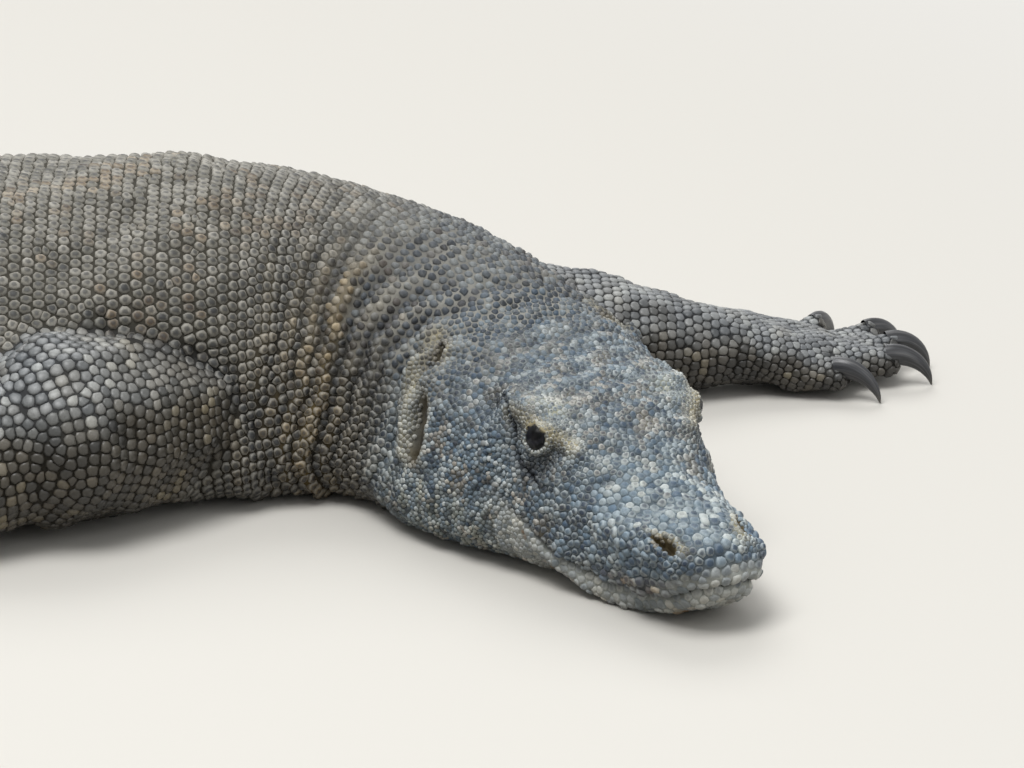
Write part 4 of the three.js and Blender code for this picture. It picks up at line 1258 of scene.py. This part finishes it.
def coat(name, pick, corners, rings, high, uneven, lift, material, unwrap):
    """One piece of the coat: a domed scale on each picked root, all in one mesh."""
    reach, turn = outlines(pick, corners)
    count = len(pick)
    rng = np.random.default_rng(len(name) * 97 + count)
    reach = reach * (1 + 0.12 * uneven * rng.normal(size=reach.shape))
    tall = high * reach.mean(1) * (1 + uneven * rng.uniform(-1, 1, count))
    at = (root_s[pick], root_side[pick], root_up[pick], root_share[pick])
    marks = markings(roots[pick], normal[pick][:, 2], *at, rng.uniform(-0.5, 0.5, count))
    tall *= 1 - 0.45 * marks["lip"]  # the shields of the lips are flatter
    gap = NAPE_GAP * nape_share(root_s[pick], root_up[pick], roots[pick])
    gap = GAP + (gap * ease(root_s[pick], 120, 250))[:, None]
    tilt = lift * np.cos(turn) + uneven * 0.35 * np.cos(turn - rng.uniform(0, 6.28, count)[:, None])
    levels = []
    for share, rise in rings:
        r = reach * (share - gap)
        z = tall[:, None] * (rise + share * tilt * (rise > 0)) - (rise == 0) * ROOTED_MM
        levels.append(
            roots[pick][:, None]
            + rear[pick][:, None] * (r * np.cos(turn))[..., None]
            + across[pick][:, None] * (r * np.sin(turn))[..., None]
            + normal[pick][:, None] * z[..., None]
        )
    top = roots[pick] + normal[pick] * tall[:, None]
    points = np.concatenate([np.concatenate(levels, 1), top[:, None]], 1)
    per = points.shape[1]
    first = (np.arange(count) * per)[:, None, None]
    quads, tris = (one + first for one in tube(len(rings), corners))
    quads, tris = quads.reshape(-1, 4), tris.reshape(-1, 3)
    points = points.reshape(-1, 3)
    points[:, 2] = np.maximum(points[:, 2], 0.0)
    mesh = make_mesh(name, points, quads, tris)

    shares = np.concatenate([np.repeat([share for share, _ in rings], corners), [0.0]])
    store(mesh, "rim", np.tile(shares, count))
    tone = mottle(roots[pick]) + (0.02 + 0.65 * uneven) * rng.normal(size=count)
    # painted light: scales that face up are paler, on the body and on the top of the snout, as if
    # lit from above
    tone += 0.24 * ease(normal[pick][:, 2], 0.5, 1.0) * (root_s[pick] > HEAD_END)  # painted light: paler where it faces up
    tone += 0.10 * ease(normal[pick][:, 2], 0.3, 0.9) * (root_s[pick] < 105)
    tone += 0.12 * cheek_share(root_s[pick], root_up[pick]) * (root_s[pick] < HEAD_END)
    store(mesh, "tone", np.repeat(np.clip(tone, 0, 1), per))
    for key, values in marks.items():
        store(mesh, key, np.repeat(values, per))
    # each scale is a patch at its root's place on the unwrapped skin
    local = [np.stack([share * np.cos(turn), share * np.sin(turn)], 1) for share, _ in rings]
    local = np.concatenate(local + [[[0.0, 0.0]]])
    spots = unwrap(pick)[:, None] + PATCH * local[None]
    loops = rows(mesh.loops, "vertex_index", 1, int).ravel()
    layer = mesh.uv_layers.new(name="OFBake")
    layer.data.foreach_set("uv", spots.reshape(-1, 2)[loops].astype(np.float32).ravel())
    print(name, count, "scales", len(quads) * 2 + len(tris), "triangles")
    return show(name, mesh, material)


def on_sheet(along, angle):
    """Places on the unwrapped skin, from shares of its length and angles round it."""
    return np.stack([along, angle / (2 * np.pi) + 0.5], 1) * 0.99 + 0.005


def body_unwrap(low, high):
    """Unwraps a length of the body like a tube slit along the belly."""

    def unwrap(pick):
        angle = np.arctan2(root_side[pick], root_up[pick] + 8)
        return on_sheet((root_s[pick] - low) / (high - low), angle)

    return unwrap


def limb_unwrap(limb_name, side_name):
    """Unwraps a limb like a sleeve slit along its underside, to the ends of its digits."""
    line = np.array(limb_lines[limb_name, side_name])

    def unwrap(pick):
        along = away_from(roots[pick], line)[1]
        left = unit(np.cross([0, 0, 1.0], line[3] - line[1]))
        index = np.clip((along * 3).astype(int), 0, 2)
        off = roots[pick] - (line[index] + line[index + 1]) / 2
        reach = (roots[pick] - line[0]) @ unit(line[3] - line[0])
        reach = (reach - reach.min()) / np.ptp(reach)
        return on_sheet(0.5 * along + 0.5 * reach, np.arctan2(off @ left, off[:, 2]))

    return unwrap


# Dry horny beads over bone: rough and pitted, with a dull shine on their tops; the limbs' shields
# are worn smoother.
bead_scales = hide_material(
    "dry_horn_beads", between=False, rough=0.5, shine=0.45, grain_mm=1.1, deep_mm=0.35
)
limb_scales = hide_material(
    "worn_horn_shields", between=False, rough=0.36, shine=0.6, grain_mm=1.0, deep_mm=0.25
)
head_scales = hide_material(
    "bone_cored_head_scales", between=False, rough=0.48, shine=0.45, grain_mm=1.2, deep_mm=0.6
)

on_head = (root_s < HEAD_END) & ~root_limb
for side_name, way in SIDES:
    pick = np.flatnonzero(on_head & ((root_side >= 0) == (way > 0)))
    coat(
        "scales_head_" + side_name, pick, 8, SOFT, high=0.52, uneven=0.30, lift=0.14,
        material=head_scales, unwrap=body_unwrap(-5, HEAD_END + 3),
    )
BODY_COATS = (
    ("neck", HEAD_END, 372), ("shoulders", 372, 600), ("ribs", 600, 830), ("loins", 830, 1060),
    ("rump", 1060, 1420), ("tail", 1420, TIP + 10),
)
for name, low, high in BODY_COATS:
    pick = np.flatnonzero(~root_limb & (root_s >= low) & (root_s < high))
    rings = PLAIN if low >= 600 else SOFT
    coat(
        "scales_" + name, pick, 8, rings, high=0.62, uneven=0.26, lift=0.28,
        material=bead_scales, unwrap=body_unwrap(low, high),
    )
for limb_name, side_name in limb_lines:
    pick = np.flatnonzero(np.isin(label, parts_of(limb_name, side_name)))
    coat(
        f"scales_{limb_name}_{side_name}", pick, 9, FINE, high=0.34, uneven=0.18, lift=0.16,
        material=limb_scales, unwrap=limb_unwrap(limb_name, side_name),
    )

# ---- Eyes ---------------------------------------------------------------------------------------
# A nearly black iris with a faint blue cast, a painted reflection, dished like a saucer round the
# pupil, lies under a clear wet cornea that bulges a little from the ball. Both are turned about
# the line of gaze.
BALL_MM, CORNEA_MM = EYE_RADIUS - 0.35, 6.9  # radii of the ball and of the cornea's bulge
FILM_MM, BULGE_FROM = 0.12, 6.0  # the tear film's thickness, and where the bulge leaves the ball
FIBRE_MM = 0.7
# painted reflection: the band round the pupil is tinted blue
IRIS = [(0.28, "#020203"), (0.31, "#06070a"), (0.42, "#0d0e15"), (0.54, "#0a0b10")]
IRIS += [(0.59, "#030304"), (0.68, "#08080b"), (1.0, "#101013")]  # by share of the ball's radius
EYE_CORNERS = 48


def turned_about(name, middle, axes, profile):
    """A mesh turned about the last of the axes, from (radius, height) pairs ending on the axis."""
    radius, height = np.array(profile[:-1]).T
    turn = np.arange(EYE_CORNERS) / EYE_CORNERS * 2 * np.pi
    x = np.outer(radius, np.cos(turn)).ravel()
    y = np.outer(radius, np.sin(turn)).ravel()
    local = np.stack([x, y, np.repeat(height, EYE_CORNERS)], 1)
    local = np.concatenate([local, [[0, 0, profile[-1][1]]]])
    quads, tris = tube(len(radius), EYE_CORNERS)
    made = make_mesh(name, middle + local @ np.array(axes), quads, tris)
    store(made, "out", np.hypot(local[:, 0], local[:, 1]))
    return made


# living eye tissue: faint fibres, a black pupil and a black rim to the iris
eye_tissue, out = new_material("iris_and_eyeball")
tree = eye_tissue.node_tree
from_axis = node(tree, "Attribute", attribute_name="out").outputs["Fac"]
from_axis = node(tree, "Math", {0: from_axis, 1: BALL_MM}, operation="DIVIDE").outputs[0]
where = node(tree, "TexCoord").outputs["Object"]
fibres = {"Vector": where, "Scale": 1000 / FIBRE_MM, "Detail": 2.0}
fibres = node(tree, "TexNoise", fibres).outputs["Fac"]
iris = node(tree, "ValToRGB", {"Fac": from_axis}, stops=IRIS).outputs[0]
iris = {0: 0.12, 6: iris, 7: fibres}
iris = node(tree, "Mix", iris, data_type="RGBA", blend_type="OVERLAY").outputs[2]
tissue = {"Base Color": iris, "Roughness": 0.6, "Specular IOR Level": 0.0}  # it lies in fluid
tissue = node(tree, "BsdfPrincipled", tissue)
tree.links.new(tissue.outputs[0], out.inputs["Surface"])

# cornea and tear film: clear as water, softened a little so that the iris shows evenly
tear_film, out = new_material("wet_cornea")
clear = {"Base Color": linear("#fdfdff"), "Roughness": 0.28, "IOR": 1.26}
clear["Transmission Weight"] = 1.0
clear = node(tear_film.node_tree, "BsdfPrincipled", clear)
tear_film.node_tree.links.new(clear.outputs[0], out.inputs["Surface"])

# the ball from its back forwards, then the dish of the iris and the hole of the pupil
dished = [(BALL_MM * math.sin(t), -BALL_MM * math.cos(t)) for t in np.linspace(0.25, 2.51, 26)]
dished += [(5.3, 7.3), (4.6, 7.0), (3.8, 6.8), (3.0, 6.7)]
dished += [(2.6, 6.7), (2.45, 6.3), (2.0, 5.9), (0, 5.8)]
film = np.linspace(8.6, BULGE_FROM, 8)
film = [(r, math.sqrt((BALL_MM + FILM_MM) ** 2 - r * r)) for r in film]
bulge = film[-1][1] - math.sqrt(CORNEA_MM**2 - BULGE_FROM**2)
film += [(r, bulge + math.sqrt(CORNEA_MM**2 - r * r)) for r in (5.7, 5.2, 4.4, 3.4, 2.3, 1.2)]
film += [(0, bulge + CORNEA_MM)]
for side_name, (middle, gaze, rise, fore) in EYES.items():
    axes = [np.cross(rise, gaze), rise, gaze]
    ball = turned_about("eyeball_" + side_name, middle, axes, dished)
    ball = show("eyeball_" + side_name, ball, eye_tissue)
    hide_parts("eye_" + side_name)
    cornea = turned_about("cornea_" + side_name, middle, axes, film)
    cornea = show("cornea_" + side_name, cornea, tear_film)
    cornea.visible_shadow = False  # light reaches the iris through it

# ---- Ear drums ----------------------------------------------------------------------------------
# A thin drum of bare skin stretched across each ear slit, a few millimetres in.
DRUM_DEPTH, DRUM_HALF = 6.2, 3.0  # how far in it lies, and half its width
DRUM_DISH = 0.9  # its middle lies this much deeper than its edges
DRUM_STEPS, DRUM_CELLS = 25, 7
VEIN_MM = 4.0

# bare damp skin, thin enough for blood and bone to tint it
ear_skin, out = new_material("ear_drum_skin")
tree = ear_skin.node_tree
where = node(tree, "TexCoord").outputs["Object"]
veins = {"Vector": where, "Scale": 1000 / VEIN_MM, "Detail": 3.0}
veins = node(tree, "TexNoise", veins).outputs["Fac"]
tints = [(0.3, "#1c1912"), (0.55, "#2e291b"), (0.75, "#433b26")]
veins = node(tree, "ValToRGB", {"Fac": veins}, stops=tints).outputs[0]
drum = node(tree, "BsdfPrincipled", {"Base Color": veins, "Roughness": 0.45})
tree.links.new(drum.outputs[0], out.inputs["Surface"])

for side_name, way in SIDES:
    steps = np.linspace(0.03, 0.97, DRUM_STEPS) * (len(EAR_LINE) - 1)
    track = [np.interp(steps, range(len(EAR_LINE)), EAR_LINE[:, k]) for k in range(3)]
    track = np.stack(track, 1)
    middle = place(track[:, 0], way * track[:, 1], track[:, 2])
    inward = unit(place(track[:, 0], way * (track[:, 1] - 10), track[:, 2] - 3) - middle)
    ahead = on_line(FORWARD, track[:, 0])
    grid = []
    for k in np.linspace(-1, 1, DRUM_CELLS):
        deep = DRUM_DEPTH + DRUM_DISH * (1 - k * k)
        grid.append(middle + ahead * (k * DRUM_HALF) + inward * deep)
    grid = np.stack(grid, 1).reshape(-1, 3)
    index = np.arange(len(grid)).reshape(DRUM_STEPS, DRUM_CELLS)
    a, b = index[:-1, :-1], index[:-1, 1:]
    quads = np.stack([a, b, b + DRUM_CELLS, a + DRUM_CELLS], -1).reshape(-1, 4)
    drum = make_mesh("ear_skin_" + side_name, grid, quads)
    drum = show("ear_skin_" + side_name, drum, ear_skin)
    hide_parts("ear_drum_" + side_name)

# ---- Claws --------------------------------------------------------------------------------------
# Twenty hooked claws of solid horn, each growing from a bony core in the end of its digit: deeper
# than wide, keeled below and worn blunt at the tip.
CLAW_SIZES = {  # half depth, half width and how far the hook turns
    "arm": (6.4, 4.2, math.radians(78)),
    "leg": (5.8, 4.0, math.radians(74)),
}
CLAW_RINGS, CLAW_CORNERS = 26, 20
BURIED = -0.12  # the root starts this share of the claw's length inside the digit
BLUNT_MM = 0.7  # the worn tip stands out this far past the last ring
STREAK_STEP = 9  # each claw has streaks of its own

# horn grows in layers from the root: fine dark streaks run along it, paler where it is worn
claw_horn, out = new_material("streaked_claw_horn")
tree = claw_horn.node_tree
grow = node(tree, "Attribute", attribute_name="grow").outputs["Vector"]
streaks = node(tree, "TexNoise", {"Vector": grow, "Scale": 1.0, "Detail": 3.0}).outputs["Fac"]
tints = [(0.3, "#1d1e21"), (0.5, "#33353a"), (0.72, "#565657")]
horn = node(tree, "ValToRGB", {"Fac": streaks}, stops=tints).outputs[0]
worn = node(tree, "Attribute", attribute_name="worn").outputs["Fac"]
horn = {0: worn, 6: horn, 7: linear("#6f6a60")}
horn = node(tree, "Mix", horn, data_type="RGBA").outputs[2]
ridges = node(tree, "Bump", {"Height": streaks, "Strength": 0.4, "Distance": 0.0003}).outputs[0]
horn = {"Base Color": horn, "Roughness": 0.34, "Specular IOR Level": 0.6, "Normal": ridges}
tree.links.new(node(tree, "BsdfPrincipled", horn).outputs[0], out.inputs["Surface"])

turn = np.arange(CLAW_CORNERS) / CLAW_CORNERS * 2 * np.pi
share = np.linspace(BURIED, 1, CLAW_RINGS)[:, None]
thin = np.where(share < 0, 1.0, (1 - np.maximum(share, 0) ** 1.5) * 0.93 + 0.07)
keel = 1 + 0.10 * np.cos(turn * 2) - 0.22 * (np.sin(turn) < -0.2) * np.abs(np.cos(turn)) ** 2
lift = np.array([0, 0, 1.0])
for name, limb_name, _, number, root, way, reach in claws:
    depth, width, sweep = CLAW_SIZES[limb_name]
    bend = min(reach / math.sin(sweep), (root[2] - 0.8) / (1 - math.cos(sweep)))
    angle = sweep * share
    middle = root + way * bend * np.sin(angle) - lift * bend * (1 - np.cos(angle))
    top = lift * np.cos(angle) + way * np.sin(angle)
    left = np.cross(lift, way)
    high = np.sin(turn) * depth * thin * np.where(np.sin(turn) < 0, 0.9, 1.0)
    wide = np.cos(turn) * width * thin * keel
    points = middle[:, None] + top[:, None] * high[..., None] + left * wide[..., None]
    tip = middle[-1] + (way * math.cos(sweep) - lift * math.sin(sweep)) * BLUNT_MM
    points = np.concatenate([points.reshape(-1, 3), [tip]])
    points[:, 2] = np.maximum(points[:, 2], 0.3)
    mesh = make_mesh(name.replace("claw", "horn"), points, *tube(CLAW_RINGS, CLAW_CORNERS))
    own = number * STREAK_STEP
    around = np.stack([np.cos(turn) * 4, np.sin(turn) * 4, turn * 0 + own], 1)
    grow = np.broadcast_to(around, (CLAW_RINGS, CLAW_CORNERS, 3)) + share[:, :, None] * [0, 0, 1.5]
    store(mesh, "grow", np.concatenate([grow.reshape(-1, 3), [[0, 0, own + 1.5]]]))
    worn = np.broadcast_to(ease(share, 0.75, 1.05) * 0.6, (CLAW_RINGS, CLAW_CORNERS))
    store(mesh, "worn", np.append(worn.ravel(), 0.6))
    claw = show(name.replace("claw", "horn"), mesh, claw_horn)
    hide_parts(name)
